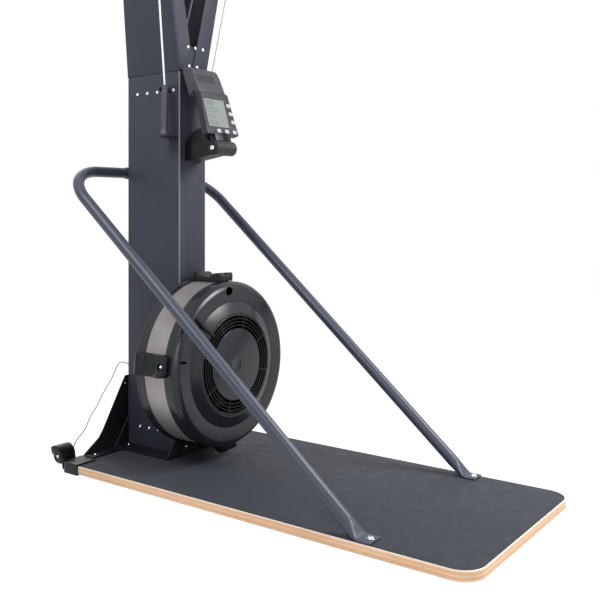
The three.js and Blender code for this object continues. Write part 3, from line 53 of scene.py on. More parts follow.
# Sizes in millimetres from the deck's centre and the floor
DECK_HALF, DECK_REAR = 300, 645
DECK_LOW, DECK_HIGH, PLIES = 3, 27, 5
MAST_HALF, MAST_FRONT = 57.5, 415.6
PLATE_TOP = 33.3
FAN = (0, 0, 314)


def place(x, y, z):
    """A point given in millimetres from the deck's centre, in the frame's metres."""
    return Vector((x * MM, (y + SHIFT_Y) * MM, z * MM))


def linked(name, data):
    """A new object in the scene."""
    obj = bpy.data.objects.new(name, data)
    bpy.context.scene.collection.objects.link(obj)
    return obj


PHOTO_SIZE, FOCAL_PIXELS, HORIZON_PIXEL = 600, 835, 211.4
SENSOR = 36
LOOK_X, LOOK_Y = 0.8084, 0.5886
camera_data = bpy.data.cameras.new("camera")
camera_data.sensor_width = SENSOR
camera_data.lens = FOCAL_PIXELS * SENSOR / PHOTO_SIZE
camera_data.shift_y = (HORIZON_PIXEL - PHOTO_SIZE / 2) / PHOTO_SIZE
camera = linked("camera", camera_data)
camera.location = place(-1868.9, -1350.6, 761.9)
camera.rotation_euler = (pi / 2, 0, atan2(-LOOK_X, LOOK_Y))
bpy.context.scene.camera = camera


# ---- materials
def srgb(r, g, b):
    """A colour written as 0-255, in the linear values that a shader takes."""
    def linear(c):
        c /= 255
        return c / 12.92 if c <= 0.04045 else ((c + 0.055) / 1.055) ** 2.4

    return linear(r), linear(g), linear(b), 1


def grey(value):
    return (value,) * 3 + (1,)


def tinted(colour, factor):
    return tuple(c * factor for c in colour[:3]) + (1,)


class Tree:
    """Short ways to add and link the nodes of a material or a world."""

    def __init__(self, owner):
        owner.use_nodes = True
        self.owner, self.nodes, self.links = owner, owner.node_tree.nodes, owner.node_tree.links

    def fill(self, socket, value):
        """Gives a socket a number or colour of its own, or links another node's output to it."""
        if isinstance(value, (int, float, tuple)):
            socket.default_value = value
        else:
            self.links.new(value, socket)

    def add(self, kind, **values):
        node = self.nodes.new(f"ShaderNode{kind}")
        for key, value in values.items():
            if hasattr(node, key):
                setattr(node, key, value)
            else:
                self.fill(node.inputs[key], value)
        return node

    def math(self, operation, *values):
        node = self.add("Math", operation=operation)
        for socket, value in zip(node.inputs, values):
            self.fill(socket, value)
        return node.outputs["Value"]


class Nodes(Tree):
    """The nodes of a material round its one surface shader."""

    def __init__(self, name, roughness=0.5, metallic=0.0, specular=0.5, coat=0.0, coat_roughness=0.1):
        super().__init__(bpy.data.materials.new(name))
        self.bsdf = self.nodes["Principled BSDF"].inputs
        for socket, value in (
                ("Roughness", roughness), ("Metallic", metallic), ("Specular IOR Level", specular),
                ("Coat Weight", coat), ("Coat Roughness", coat_roughness)):
            self.bsdf[socket].default_value = value
        self.coords = self.add("TexCoord").outputs

    def split(self, source):
        """The three numbers of one of the piece's own coordinates."""
        return self.add("SeparateXYZ", Vector=self.coords[source]).outputs

    def noise(self, scale, detail=3.0, roughness=0.55):
        """Noise of so many changes a metre; three numbers stretch it along the piece's axes."""
        vector = self.coords["Object"]
        if isinstance(scale, tuple):
            vector, scale = self.add("Mapping", Scale=scale, Vector=vector).outputs["Vector"], 1.0
        node = self.add("TexNoise", Scale=scale, Detail=detail, Roughness=roughness, Vector=vector)
        return node.outputs["Fac"]

    def ramp(self, factor, one, two, start=0.3, end=0.7):
        """Goes from one colour to the other while the factor goes from start to end."""
        node = self.add("ValToRGB", Fac=factor)
        for element, colour, position in zip(node.color_ramp.elements, (one, two), (start, end)):
            element.position = position
            element.color = colour
        return node.outputs["Color"]

    def mix(self, factor, a, b, blend="MIX"):
        node = self.add("Mix", data_type="RGBA", blend_type=blend)
        for index, value in ((0, factor), (6, a), (7, b)):
            self.fill(node.inputs[index], value)
        return node.outputs[2]

    def bump(self, height, strength, depth):
        """Relief of a depth in millimetres."""
        return self.add("Bump", Strength=strength, Distance=depth * MM, Height=height).outputs["Normal"]

    def finish(self, colour, roughness=None, normal=None):
        for socket, value in (("Base Color", colour), ("Roughness", roughness), ("Normal", normal)):
            if value is not None:
                self.fill(self.bsdf[socket], value)
        return self.owner


TONE_PATCHES, GLOSS_PATCHES = 4.0, 12.0  # slow changes of a painted surface, a metre


def coated(name, colour, gloss, specular, spread=0.06, grain=900, depth=0.04, metallic=0.0, speckle=0.12,
           relief=0.35):
    """Paint or moulded plastic: slow changes of tone, fine grain in the bump, uneven gloss."""
    n = Nodes(name, metallic=metallic, specular=specular)
    dark, light = tinted(srgb(*colour), 1 - spread), tinted(srgb(*colour), 1 + spread)
    tone = n.ramp(n.noise(TONE_PATCHES, 4), dark, light)
    speck = n.noise(grain, 2)
    tone = n.mix(speckle, tone, n.ramp(speck, dark, light, 0.35, 0.65), "OVERLAY")
    rough = n.ramp(n.noise(GLOSS_PATCHES, 5), grey(gloss[0]), grey(gloss[1]))
    return n.finish(tone, rough, n.bump(speck, relief, depth))


HIGHLIGHT_PLIES = 4.62  # plies up to the painted highlight, a pale line along the eased top edge
END_GRAIN_AND_SHADE = 0.16  # how far end grain and painted shade darken the front and rear edges


def plywood_material():
    """The deck's edge: birch plies in level layers, thin dark glue lines and long grain."""
    n = Nodes("plywood", roughness=0.5, specular=0.3)
    ply = (DECK_HIGH - DECK_LOW) * MM / PLIES
    height = n.math("DIVIDE", n.math("SUBTRACT", n.split("Object")["Z"], DECK_LOW * MM), ply)
    odd = n.math("MODULO", n.math("FLOOR", height), 2)
    grain = n.noise((38, 38, 900), 6, 0.6)
    streak = n.noise((9, 9, 420), 3, 0.5)
    pale = n.mix(streak, srgb(238, 212, 191), srgb(230, 198, 172))
    deep = n.mix(streak, srgb(236, 193, 158), srgb(221, 172, 134))
    tone = n.mix(odd, pale, deep)
    tone = n.mix(0.35, tone, n.ramp(grain, srgb(206, 158, 122), srgb(252, 232, 210), 0.35, 0.6),
                 "SOFT_LIGHT")
    warm = n.ramp(n.noise((3.2, 3.2, 130), 2, 0.5), grey(0), grey(1), 0.42, 0.62)
    tone = n.mix(n.math("MULTIPLY", warm, 0.5), tone, srgb(222, 168, 120))
    # End grain with painted shade: the front and rear edges are darker by how squarely they face along the
    # deck
    end_grain_and_shade = n.math("MULTIPLY", n.math("ABSOLUTE", n.split("Normal")["Y"]), END_GRAIN_AND_SHADE)
    tone = n.mix(end_grain_and_shade, tone, srgb(150, 132, 116))
    # Painted highlight: a pale line along the eased top edge
    tone = n.mix(n.math("GREATER_THAN", height, HIGHLIGHT_PLIES), tone, srgb(240, 226, 212))
    glue = n.ramp(n.math("FRACT", height), grey(1), grey(0), 0.0, 0.08)
    tone = n.mix(n.math("MULTIPLY", glue, 0.7), tone, srgb(200, 148, 110))
    return n.finish(tone, None, n.bump(grain, 0.3, 0.2))


def grip_material():
    """The deck's top: a matt anti-slip sheet with a fine pebbled grain."""
    n = Nodes("grip_sheet", roughness=0.72, specular=0.3)
    pebble = n.add("TexVoronoi", Scale=420.0, Vector=n.coords["Object"])
    tone = n.ramp(n.noise(2.2, 4), srgb(57, 60, 68), srgb(63, 66, 74))
    specks = n.ramp(n.noise(1500, 1), srgb(46, 48, 54), srgb(86, 89, 97), 0.4, 0.62)
    tone = n.mix(0.3, tone, specks, "OVERLAY")
    rough = n.ramp(n.noise(30, 4), grey(0.62), grey(0.8))
    return n.finish(tone, rough, n.bump(pebble.outputs["Distance"], 0.5, 0.4))


WIRES_ROUND, WIRES_ACROSS = 900, 46


def woven_material():
    """The band of fine wire mesh round the fan, in the piece's own u (round) and v (across)."""
    n = Nodes("wire_mesh", roughness=0.42, metallic=0.55, specular=0.4)
    uv = n.split("UV")
    wires = [n.math("ABSOLUTE", n.math("SINE", n.math("MULTIPLY", uv[axis], count * pi)))
             for axis, count in (("X", WIRES_ROUND), ("Y", WIRES_ACROSS))]
    height = n.math("MAXIMUM", *wires)
    tone = n.ramp(height, srgb(70, 67, 67), srgb(164, 158, 158), 0.35, 0.85)
    drift = n.ramp(n.noise(5, 3), srgb(124, 119, 119), srgb(170, 165, 166), 0.35, 0.7)
    return n.finish(n.mix(0.45, tone, drift), None, n.bump(height, 0.5, 0.4))


ROPE_STRANDS, ROPE_TWIST = 4, 700.0  # strands round the rope, radians a metre along it


def rope_material():
    """A white braided rope: two sets of strands that cross, in the piece's own u and v."""
    n = Nodes("rope_braid", roughness=0.75, specular=0.2)
    uv = n.split("UV")
    turn = n.math("MULTIPLY", uv["X"], ROPE_STRANDS * TAU)
    rise = n.math("MULTIPLY", uv["Y"], ROPE_TWIST)
    braid = n.math("MAXIMUM", *[n.math("SINE", n.math(way, turn, rise)) for way in ("ADD", "SUBTRACT")])
    tone = n.ramp(braid, srgb(226, 226, 226), srgb(255, 255, 254), 0.0, 0.75)
    return n.finish(tone, None, n.bump(braid, 0.6, 0.4))


def lcd_material():
    """The display's grey-green pane."""
    n = Nodes("lcd", roughness=0.2, specular=0.35, coat=0.25, coat_roughness=0.08)
    return n.finish(n.ramp(n.noise(24, 3), srgb(124, 132, 128), srgb(138, 146, 142)))


def steel_material(name, colour, low, high):
    """Bare steel, brushed along the piece's height, with a roughness from low to high."""
    n = Nodes(name, metallic=1.0)
    brushed = n.noise((600, 600, 60), 4, 0.6)
    tone = n.ramp(brushed, tinted(srgb(*colour), 0.86), srgb(*colour))
    rough = n.ramp(brushed, grey(low), grey(high))
    return n.finish(tone, rough, n.bump(brushed, 0.15, 0.05))


# Name, colour, lowest and highest roughness, specular, spread of tone, grains a metre, their depth in mm,
# metallic, how much the grains show in the tone and in the relief
COATS = {
    "powder": ("powder_coat", (58, 60, 72), (0.42, 0.52), 0.22, 0.06, 1400, 0.05),
    # Lighter paint for the strips round the mast's front corners: a painted highlight
    "powder_painted_highlight": ("powder_coat_painted_highlight", (122, 124, 136), (0.3, 0.38), 0.5, 0.06, 1400, 0.03),
    # The mast's paint made darker for the handle holders: painted shade
    "powder_painted_shade": ("powder_coat_painted_shade", (42, 44, 54), (0.42, 0.52), 0.2, 0.06, 1400, 0.05),
    "seam_gloss": ("black_gloss", (10, 11, 13), (0.2, 0.28), 0.3),
    "seam": ("seam_shadow", (18, 19, 23), (0.6, 0.7), 0.1),
    "rail": ("rail_paint", (56, 62, 77), (0.38, 0.42), 0.45, 0.05, 900, 0.01, 0.0, 0.0, 0.0),
    "black_steel": ("black_steel", (23, 24, 29), (0.4, 0.52), 0.15, 0.1),
    "black_plastic": ("black_plastic", (17, 18, 22), (0.3, 0.42), 0.25, 0.08, 1100),
    "fan": ("fan_plastic", (27, 30, 36), (0.22, 0.3), 0.36, 0.06, 1300, 0.03, 0.0, 0.05, 0.08),
    "fan_side": ("fan_side_plastic", (27, 29, 37), (0.22, 0.3), 0.42, 0.06, 1300, 0.03, 0.0, 0.05, 0.08),
    "grille": ("grille_plastic", (12, 13, 16), (0.3, 0.4), 0.25, 0.06, 1300, 0.03),
    "monitor": ("monitor_plastic", (38, 38, 44), (0.42, 0.52), 0.3, 0.05, 1500, 0.05),
    "holder": ("holder_plastic", (65, 65, 70), (0.45, 0.55), 0.3, 0.05, 1500, 0.05),
    "rubber": ("rubber", (36, 37, 44), (0.55, 0.7), 0.3, 0.1, 700, 0.08),
    "grip_rubber": ("grip_rubber", (62, 64, 78), (0.38, 0.46), 0.5, 0.08, 700, 0.06),
    "iron": ("cast_iron", (52, 53, 57), (0.5, 0.65), 0.35, 0.15, 500, 0.1, 0.3),
    "key": ("key_plastic", (178, 179, 187), (0.4, 0.5), 0.4, 0.03),
    "ink": ("lcd_ink", (86, 94, 92), (0.3, 0.4), 0.2, 0.03),
}
MAT = {key: coated(*row) for key, row in COATS.items()} | {
    "steel": steel_material("steel", (200, 202, 206), 0.22, 0.36),
    "bolt": steel_material("zinc_bolt", (226, 227, 230), 0.16, 0.28),
    "plywood": plywood_material(),
    "grip": grip_material(),
    "mesh": woven_material(),
    "rope": rope_material(),
    "lcd": lcd_material(),
}


# ---- outlines
# Shapes are made in millimetres from the deck's centre; mesh_object() turns them into the frame's metres.
def fillet(points, steps=4):
    """A closed outline whose points may carry a third number, the radius of a round corner."""
    result = []
    count = len(points)
    for i, point in enumerate(points):
        here = Vector(point[:2])
        radius = point[2] if len(point) > 2 else 0
        if not radius:
            result.append(tuple(here))
            continue
        before = Vector(points[i - 1][:2]) - here
        after = Vector(points[(i + 1) % count][:2]) - here
        reach = min(radius / tan(before.angle(after) / 2), before.length * 0.49, after.length * 0.49)
        start = here + before.normalized() * reach
        end = here + after.normalized() * reach
        for k in range(steps + 1):
            t = k / steps
            result.append(tuple(start * (1 - t) ** 2 + here * 2 * t * (1 - t) + end * t ** 2))
    return result


def rounded(x0, y0, x1, y1, radius, steps=4):
    """A rectangle with round corners."""
    return fillet([(x0, y0, radius), (x1, y0, radius), (x1, y1, radius), (x0, y1, radius)], steps)


def oval(cx, wide, high, count):
    return [(cx + wide * cos(TAU * k / count), high * sin(TAU * k / count)) for k in range(count)]


def arc(cx, cy, radius, start, end, steps):
    angles = [start + (end - start) * k / steps for k in range(steps + 1)]
    return [(cx + radius * cos(angle), cy + radius * sin(angle)) for angle in angles]


def catmull(a, b, c, d, t):
    """A point of the smooth curve through a, b, c and d, at a share t of the way from b to c."""
    return ((b * 2) + (c - a) * t + (a * 2 - b * 5 + c * 4 - d) * t ** 2
            + (b * 3 - a - c * 3 + d) * t ** 3) / 2


# ---- shapes: vertices, faces and their uvs
AXIS_FRAMES = {
    "x": lambda a, b, s: (s, a, b),
    "y": lambda a, b, s: (a, s, b),
    "z": lambda a, b, s: (a, b, s),
}


def reaches(points):
    """How far along a path each of its points lies."""
    lengths = [0.0]
    for one, two in zip(points, points[1:]):
        lengths.append(lengths[-1] + (Vector(two) - Vector(one)).length)
    return lengths


def turned(profile, axis, segments, centre=(0, 0, 0)):
    """A closed profile of (radius, place along the axis), turned round the axis."""
    verts, faces, uvs = [], [], []
    rings = len(profile)
    lay = AXIS_FRAMES[axis]
    for k in range(segments):
        c, s = cos(TAU * k / segments), sin(TAU * k / segments)
        for radius, along in profile:
            x, y, z = lay(radius * c, radius * s, along)
            verts.append((x + centre[0], y + centre[1], z + centre[2]))
    lengths = reaches(profile + profile[:1])
    for k in range(segments):
        u0, u1 = k / segments, (k + 1) / segments
        here, there = k * rings, (k + 1) % segments * rings
        for i in range(rings):
            j = (i + 1) % rings
            faces.append((here + i, here + j, there + j, there + i))
            v0, v1 = lengths[i] / lengths[-1], lengths[i + 1] / lengths[-1]
            uvs.append(((u0, v0), (u0, v1), (u1, v1), (u1, v0)))
    return verts, faces, uvs


def prism(outline, axis, low, high):
    """An outline, given on the other two axes in their order, drawn out along an axis."""
    lay = AXIS_FRAMES[axis]
    count = len(outline)
    verts = [lay(u, v, s) for s in (low, high) for u, v in outline]
    faces = [tuple(range(count)), tuple(range(2 * count - 1, count - 1, -1))]
    for i in range(count):
        j = (i + 1) % count
        faces.append((i, i + count, j + count, j))
    return verts, faces, None


def box(x, y, z):
    return prism([(x[0], y[0]), (x[1], y[0]), (x[1], y[1]), (x[0], y[1])], "z", *z)


def loft(rings):
    """A skin over rings of points with closed ends; u runs round it and v along it, in metres."""
    count = len(rings[0])
    verts = [tuple(p) for ring_points in rings for p in ring_points]
    faces, uvs = [], []
    lengths = reaches([points[0] for points in rings])
    for i in range(len(rings) - 1):
        v0, v1 = lengths[i] * MM, lengths[i + 1] * MM
        for j in range(count):
            k = (j + 1) % count
            faces.append((i * count + j, i * count + k, (i + 1) * count + k, (i + 1) * count + j))
            u0, u1 = j / count, (j + 1) / count
            uvs.append(((u0, v0), (u1, v0), (u1, v1), (u0, v1)))
    last = (len(rings) - 1) * count
    faces += [tuple(range(count - 1, -1, -1)), tuple(range(last, last + count))]
    uvs += [((0.5, 0.0),) * count] * 2
    return verts, faces, uvs


def ring(centre, side, up, sides, squareness=0.0):
    """Points round a centre on two half-axes; squareness takes the ring from round towards square."""
    points = []
    for k in range(sides):
        angle = (k + 0.5) / sides * TAU
        across, rise = [copysign(abs(v) ** (1 - squareness), v) for v in (cos(angle), sin(angle))]
        points.append(centre + side * across + up * rise)
    return points


def tube(points, radius, sides):
    """A round cord through points."""
    path = [Vector(p) for p in points]
    last = len(path) - 1
    tangents = [(path[min(i + 1, last)] - path[max(i - 1, 0)]).normalized() for i in range(last + 1)]
    side = Vector((0, 1, 0)).cross(tangents[0])
    if side.length < 0.1:
        side = Vector((1, 0, 0)).cross(tangents[0])
    rings = []
    for point, tangent in zip(path, tangents):
        side = (side - tangent * side.dot(tangent)).normalized()
        rings.append(ring(point, side * radius, tangent.cross(side) * radius, sides))
    return loft(rings)


def changed(shape, matrix):
    verts, faces, uvs = shape
    return [tuple(matrix @ Vector(v)) for v in verts], faces, uvs


def merged(*shapes):
    verts, faces, uvs = [], [], []
    for shape_verts, shape_faces, shape_uvs in shapes:
        base = len(verts)
        verts += shape_verts
        faces += [tuple(i + base for i in f) for f in shape_faces]
        uvs += shape_uvs or [((0.0, 0.0),) * len(f) for f in shape_faces]
    return verts, faces, uvs


def same(shape):
    return shape


def mirrored(shape):
    verts, faces, uvs = shape
    return [(-x, y, z) for x, y, z in verts], [f[::-1] for f in faces], uvs and [u[::-1] for u in uvs]


# Paired pieces are drawn for the left: side, the sign of its x, and what takes the drawing there
SIDES = (("left", -1, same), ("right", 1, mirrored))


# ---- objects
def shade(mesh, angle):
    mesh.shade_smooth()
    mesh.set_sharp_from_angle(angle=radians(angle))


def mesh_object(name, shape, smooth=35):
    verts, faces, uvs = shape
    mesh = bpy.data.meshes.new(name)
    mesh.from_pydata([place(*v) for v in verts], [], faces)
    if uvs:
        layer = mesh.uv_layers.new(name="UVMap")
        layer.data.foreach_set("uv", [c for face in uvs for corner in face for c in corner])
    bm = bmesh.new()
    bm.from_mesh(mesh)
    bmesh.ops.remove_doubles(bm, verts=bm.verts, dist=1e-7)
    bmesh.ops.recalc_face_normals(bm, faces=bm.faces)
    bm.to_mesh(mesh)
    bm.free()
    shade(mesh, smooth)
    return linked(name, mesh)


def baked(obj, smooth):
    """Turns the object's modifiers into its mesh."""
    graph = bpy.context.evaluated_depsgraph_get()
    mesh = bpy.data.meshes.new_from_object(obj.evaluated_get(graph), depsgraph=graph)
    obj.modifiers.clear()
    obj.data = mesh
    shade(mesh, smooth)


def carve(obj, cutters, smooth=35):
    """Cuts shapes out of an object."""
    tools = [mesh_object(f"{obj.name}_cutter_{i}", cutter) for i, cutter in enumerate(cutters)]
    for tool in tools:
        modifier = obj.modifiers.new("cut", "BOOLEAN")
        modifier.object = tool
        modifier.operation = "DIFFERENCE"
        modifier.solver = "EXACT"
    baked(obj, smooth)
    for tool in tools:
        bpy.data.objects.remove(tool)


def eased(obj, width, segments, angle, smooth=40):
    """Rounds the edges that are sharper than an angle by a width in millimetres."""
    modifier = obj.modifiers.new("ease", "BEVEL")
    modifier.width = width * MM
    modifier.segments = segments
    modifier.limit_method = "ANGLE"
    modifier.angle_limit = radians(angle)
    baked(obj, smooth)


def dress(obj, material, body, slot, *replaced):
    obj.data.materials.clear()
    obj.data.materials.append(MAT[material])
    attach(obj, body)
    if replaced:
        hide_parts(*replaced)
    return obj


def piece(name, shape, material, slot, *replaced, body="frame", cuts=(), ease=None, smooth=35):
    """A finished piece: cut, its edges eased by (width, segments, angle), dressed and on its body."""
    obj = mesh_object(name, shape, smooth)
    if cuts:
        carve(obj, cuts)
    if ease:
        eased(obj, *ease)
    return dress(obj, material, body, slot, *replaced)


def smoothed(node, shape, material, slot, **options):
    """A smooth piece in place of one CAD node."""
    return piece(f"{node}_smooth", shape, material, slot, node, **options)


def refined(node, material, slot, width, segments=2, angle=25, smooth=40, body="frame"):
    """A copy of a CAD node with its facets merged and its edges eased."""
    mesh = nodes[node].data.copy()
    bm = bmesh.new()
    bm.from_mesh(mesh)
    bmesh.ops.remove_doubles(bm, verts=bm.verts, dist=2e-6)
    bmesh.ops.dissolve_limit(bm, angle_limit=radians(0.6), verts=bm.verts, edges=bm.edges)
    bm.to_mesh(mesh)
    bm.free()
    obj = linked(f"{node}_finished", mesh)
    eased(obj, width, segments, angle, smooth)
    return dress(obj, material, body, slot, node)


# ---- lead and coil
LEAD_RADIUS = 1.25
LEAD_POINTS = [
    (-47, 637.6, 276), (-47, 644, 276), (-52, 649, 280), (-60, 654, 284), (-68, 658, 286), (-75, 662, 283),
    (-80, 665, 275), (-88, 667, 258), (-97, 669, 241), (-111, 671, 221), (-127, 673, 200), (-139, 675, 181),
    (-149, 677, 163), (-161, 678, 148), (-173, 680, 133), (-182, 682, 115), (-189, 684, 99), (-199, 686, 86),
    (-213, 688, 75), (-221, 690, 65), (-226, 692, 54), (-227, 694, 40), (-225, 696, 26), (-219, 697, 13),
    (-208, 698, 5), (-195, 700, 1.6), (-178, 701, 1.6), (-163, 699, 1.6), (-154, 694, 1.6), (-150.6, 687, 1.6),
]
COIL_X, COIL_Y, COIL_INNER, COIL_PITCH, COIL_LOOPS = -128, 682, 7, 3, 10.25
TAIL = 16  # the straight bit between the coil and the plug


def coil_points():
    """The spare lead, wound inwards on the floor and back outwards one turn higher."""
    per_layer = COIL_LOOPS / 2
    count = round(COIL_LOOPS * 32)
    points = []
    for i in range(count + 1):
        turns = COIL_LOOPS * i / count
        radius = COIL_INNER + COIL_PITCH * abs(per_layer - turns)
        climb = min(max((turns - per_layer) * 2 + 0.5, 0), 1)
        angle = pi + TAU * turns
        points.append((COIL_X + radius * cos(angle), COIL_Y + radius * sin(angle),
                       LEAD_RADIUS + 0.3 + COIL_PITCH * climb))
    return points


def smooth_path(points, steps=4):
    path = [Vector(p) for p in points]
    ends = [path[0] * 2 - path[1]] + path + [path[-1] * 2 - path[-2]]
    return [catmull(*four, k / steps) for four in zip(ends, ends[1:], ends[2:], ends[3:])
            for k in range(steps)] + [path[-1]]


coil = coil_points()
end_x, end_y, end_z = coil[-1]
lead_path = smooth_path(LEAD_POINTS + [coil[0]])
lead_path += [Vector(p) for p in coil[1:]] + [Vector((end_x + TAIL, end_y, end_z))]
lead = piece("signal_lead_smooth", tube(lead_path, LEAD_RADIUS, 10), "rubber", "rubber", "signal_lead",
             "lead_coil", smooth=60)
plug_profile = fillet([
    (0, 0), (2.7, 0, 0.6), (4.5, 7, 1.5), (4.5, 10), (4.1, 10.4), (4.1, 11.6), (4.5, 12), (4.5, 14),
    (4.1, 14.4), (4.1, 15.6), (4.5, 16), (4.5, 23.8, 1), (2.7, 23.8, 0.3), (2.7, 33, 0.4), (2.2, 34), (0, 34)])
plug = smoothed("lead_plug", turned(plug_profile, "x", SMALL, (end_x + TAIL + 0.3, end_y, end_z)),
                "black_plastic", "rubber")
grommet = fillet([(1.45, 640.7), (3.6, 640.7, 0.4), (3.3, 642, 0.5), (1.8, 643.2, 0.3), (1.45, 643.2)])
piece("lead_grommet", turned(grommet, "y", SMALL, (-47, 0, 276)), "rubber", "rubber")


# ---- fittings
def bolt(name, at, axis, towards, radius=5.2, height=2.6, socket=2.3):
    """A button-head screw with a hexagon socket; towards is +1 or -1 along the axis."""
    spot = Matrix.Translation(at)
    profile = fillet([
        (0, 0), (radius, 0, 0.4), (radius, height * 0.35, 0.6), (radius * 0.8, height * 0.82, 1),
        (radius * 0.5, height), (0, height)], 3)
    shape = turned([(r, s * towards) for r, s in profile], axis, 24)
    obj = mesh_object(name, changed(shape, spot), 50)
    low, high = sorted((height * 0.35 * towards, height * 1.5 * towards))
    hexagon = prism(oval(0, socket, socket, 6), axis, low, high)
    carve(obj, [changed(hexagon, spot)], 50)
    dress(obj, "bolt", "frame", "steel")


def bolts(prefix, places, axis, towards, **sizes):
    for i, at in enumerate(places, 1):
        bolt(f"{prefix}_{i}", at, axis, towards, **sizes)


for side, sign, _ in SIDES:
    outside = sign * MAST_HALF
    bolts(f"mast_bolt_low_{side}", [(outside, y, 92) for y in (584.7, 545, 506)], "x", sign)
    bolts(f"mast_bolt_high_{side}", [(outside, y, 1127) for y in (596.4, 552.7, 509.4)], "x", sign)
    bolts(f"holder_bolt_{side}", [(sign * 60.8, 437, 1127)], "x", sign, radius=5.6, height=3)
    bolts(f"flange_bolt_{side}", [(sign * x, 620, PLATE_TOP) for x in (72, 205)], "z", 1)
    bolts(f"bell_bolt_{side}", [(sign * 68, 640.7, 222)], "y", -1, radius=3.4, height=1.6, socket=1.5)
    bolts(f"foot_bolt_{side}", [(sign * 33, 410.2, 53)], "y", -1, radius=4.8)
ARM_LEAN, SEAM = 0.03, 1184.5
RIGHT_ARM_AHEAD = 2.8


def arm_face(z, ahead=0):
    return MAST_FRONT - ARM_LEAN * (z - SEAM) - ahead


bolts("cross_bolt", [(x, arm_face(z, ahead), z) for x, z, ahead in (
    (-22, 1260, 0), (-16, 1203, 0), (6, 1260, RIGHT_ARM_AHEAD), (40, 1260, RIGHT_ARM_AHEAD),
    (16, 1203, RIGHT_ARM_AHEAD))], "y", -1)


# ---- deck
FRONT_ROUND, REAR_ROUND = 58, 18
MAT_INSET, MAT_TOP = 2.4, 28.0


def deck_outline(inset):
    x, y, front, rear = (size - inset for size in (DECK_HALF, DECK_REAR, FRONT_ROUND, REAR_ROUND))
    corners = ((x - front, front - y, front, 20), (x - rear, y - rear, rear, 8),
               (rear - x, y - rear, rear, 8), (front - x, front - y, front, 20))
    return [point for k, (cx, cy, radius, steps) in enumerate(corners)
            for point in arc(cx, cy, radius, (k - 1) * pi / 2, k * pi / 2, steps)]


smoothed("deck_board", prism(deck_outline(0), "z", DECK_LOW, DECK_HIGH), "plywood", "plywood",
         ease=(2.6, 4, 60))
smoothed("deck_mat", prism(deck_outline(MAT_INSET), "z", DECK_HIGH, MAT_TOP), "grip", "grip_sheet",
         ease=(0.4, 2, 60))
for side, sign, _ in SIDES:
    pad = turned(fillet([(0, 0), (19, 0, 1), (22, 2.7, 0.4), (0, 2.7)]), "z", SMALL, (sign * 230, -560, 0))
    smoothed(f"front_pad_{side}", pad, "rubber", "rubber")


# ---- corner caps and transport wheels
WHEEL_Y, WHEEL_Z, WHEEL_R = 688, 38, 26
WHEEL = (0, WHEEL_Y, WHEEL_Z)
CAP_WALL, HOOD_WALL, HOOD_GAP, HOOD_WIDTH = 4.5, 3, 1.5, 51
CAP_TOP, SHOE_LENGTH, SHOE_WIDTH = 32.3, 66, 72
OUTER_X, OUTER_Y = DECK_HALF + CAP_WALL, DECK_REAR + CAP_WALL
FIT = 0.3  # play round the deck, and how far one moulding enters the next
HOOD_END = radians(49.5)


def corner_cap(side, sign, mirror):
    """A shoe over the deck's rear corner with a hood over its wheel and the wheel's pin."""
    def moulded(name, shape, **options):
        piece(f"{name}_{side}", mirror(shape), "black_plastic", "moulding", **options)

    front, inside = OUTER_Y - SHOE_LENGTH, -OUTER_X + SHOE_WIDTH
    shoe = fillet([(-OUTER_X, front, 3), (-OUTER_X, OUTER_Y, 16), (inside, OUTER_Y, 3), (inside, front, 5)], 6)
    pocket = box((-DECK_HALF - FIT, 10), (500, DECK_REAR + FIT), (2.7, 28.3))
    smoothed(f"corner_cap_{side}", mirror(prism(shoe, "z", 0, CAP_TOP)), "black_plastic", "moulding",
             cuts=[mirror(pocket)], ease=(2, 3, 40))
    inner, outer = WHEEL_R + HOOD_GAP, WHEEL_R + HOOD_GAP + HOOD_WALL
    rear = OUTER_Y - FIT
    hood = (arc(WHEEL_Y, WHEEL_Z, outer, HOOD_END, pi, 30) + [(rear, 6), (OUTER_Y + 2.7, 6)]
            + arc(WHEEL_Y, WHEEL_Z, inner, pi, HOOD_END, 30))
    moulded("wheel_hood", prism(hood, "x", -DECK_HALF, -DECK_HALF + HOOD_WIDTH), ease=(0.9, 3, 40))
    cheek = arc(WHEEL_Y, WHEEL_Z, outer, 0, pi, 36) + [(rear, 4), (WHEEL_Y - WHEEL_R / 2, 4)]
    moulded("wheel_cheek", prism(cheek, "x", -261.6, -258.7), ease=(0.8, 2, 40))
    flank = ([(rear, WHEEL_Z), (rear, 21.7), (rear + 25.5, 24), (rear + 34, 36), (rear + 53.5, 45)]
             + arc(WHEEL_Y, WHEEL_Z, outer, HOOD_END, pi, 36))
    moulded("wheel_flank", prism(flank, "x", -DECK_HALF, -DECK_HALF + HOOD_WALL), ease=(0.8, 2, 40))
    bolt(f"wheel_bolt_{side}", (sign * DECK_HALF, WHEEL_Y - 14, WHEEL_Z + 2), "x", sign, 4.4, 3, 2)
    pin = fillet([
        (0, -292.4), (5.5, -292.4, 1), (9, -291.4, 1.2), (9, -288.3, 0.4), (5, -288.3), (5, -261), (0, -261)])
    moulded("wheel_pin", turned(pin, "x", SMALL, WHEEL))


profile = [(5.3, -288), (9, -288, 0.6), (9.6, -286.6), (15.6, -286.6, 0.6), (17.2, -284.8),
           (21.5, -284.8, 0.6), (22, -287.6, 0.6), (23.6, -287.2, 1.5), (WHEEL_R, -283, 2)]
for groove in (-279.5, -275, -270.5):
    profile += [(WHEEL_R, groove - 0.8), (WHEEL_R - 1, groove - 0.4), (WHEEL_R - 1, groove + 0.4),
                (WHEEL_R, groove + 0.8)]
profile += [(WHEEL_R, -267, 2), (23.6, -262.3, 1.5), (5.3, -262.3)]
wheel = turned(fillet(profile), "x", ROUND, WHEEL)
for side, sign, mirror in SIDES:
    corner_cap(side, sign, mirror)
    smoothed(f"transport_wheel_{side}", mirror(wheel), "rubber", "tyre", body=f"wheel_{side}_body")


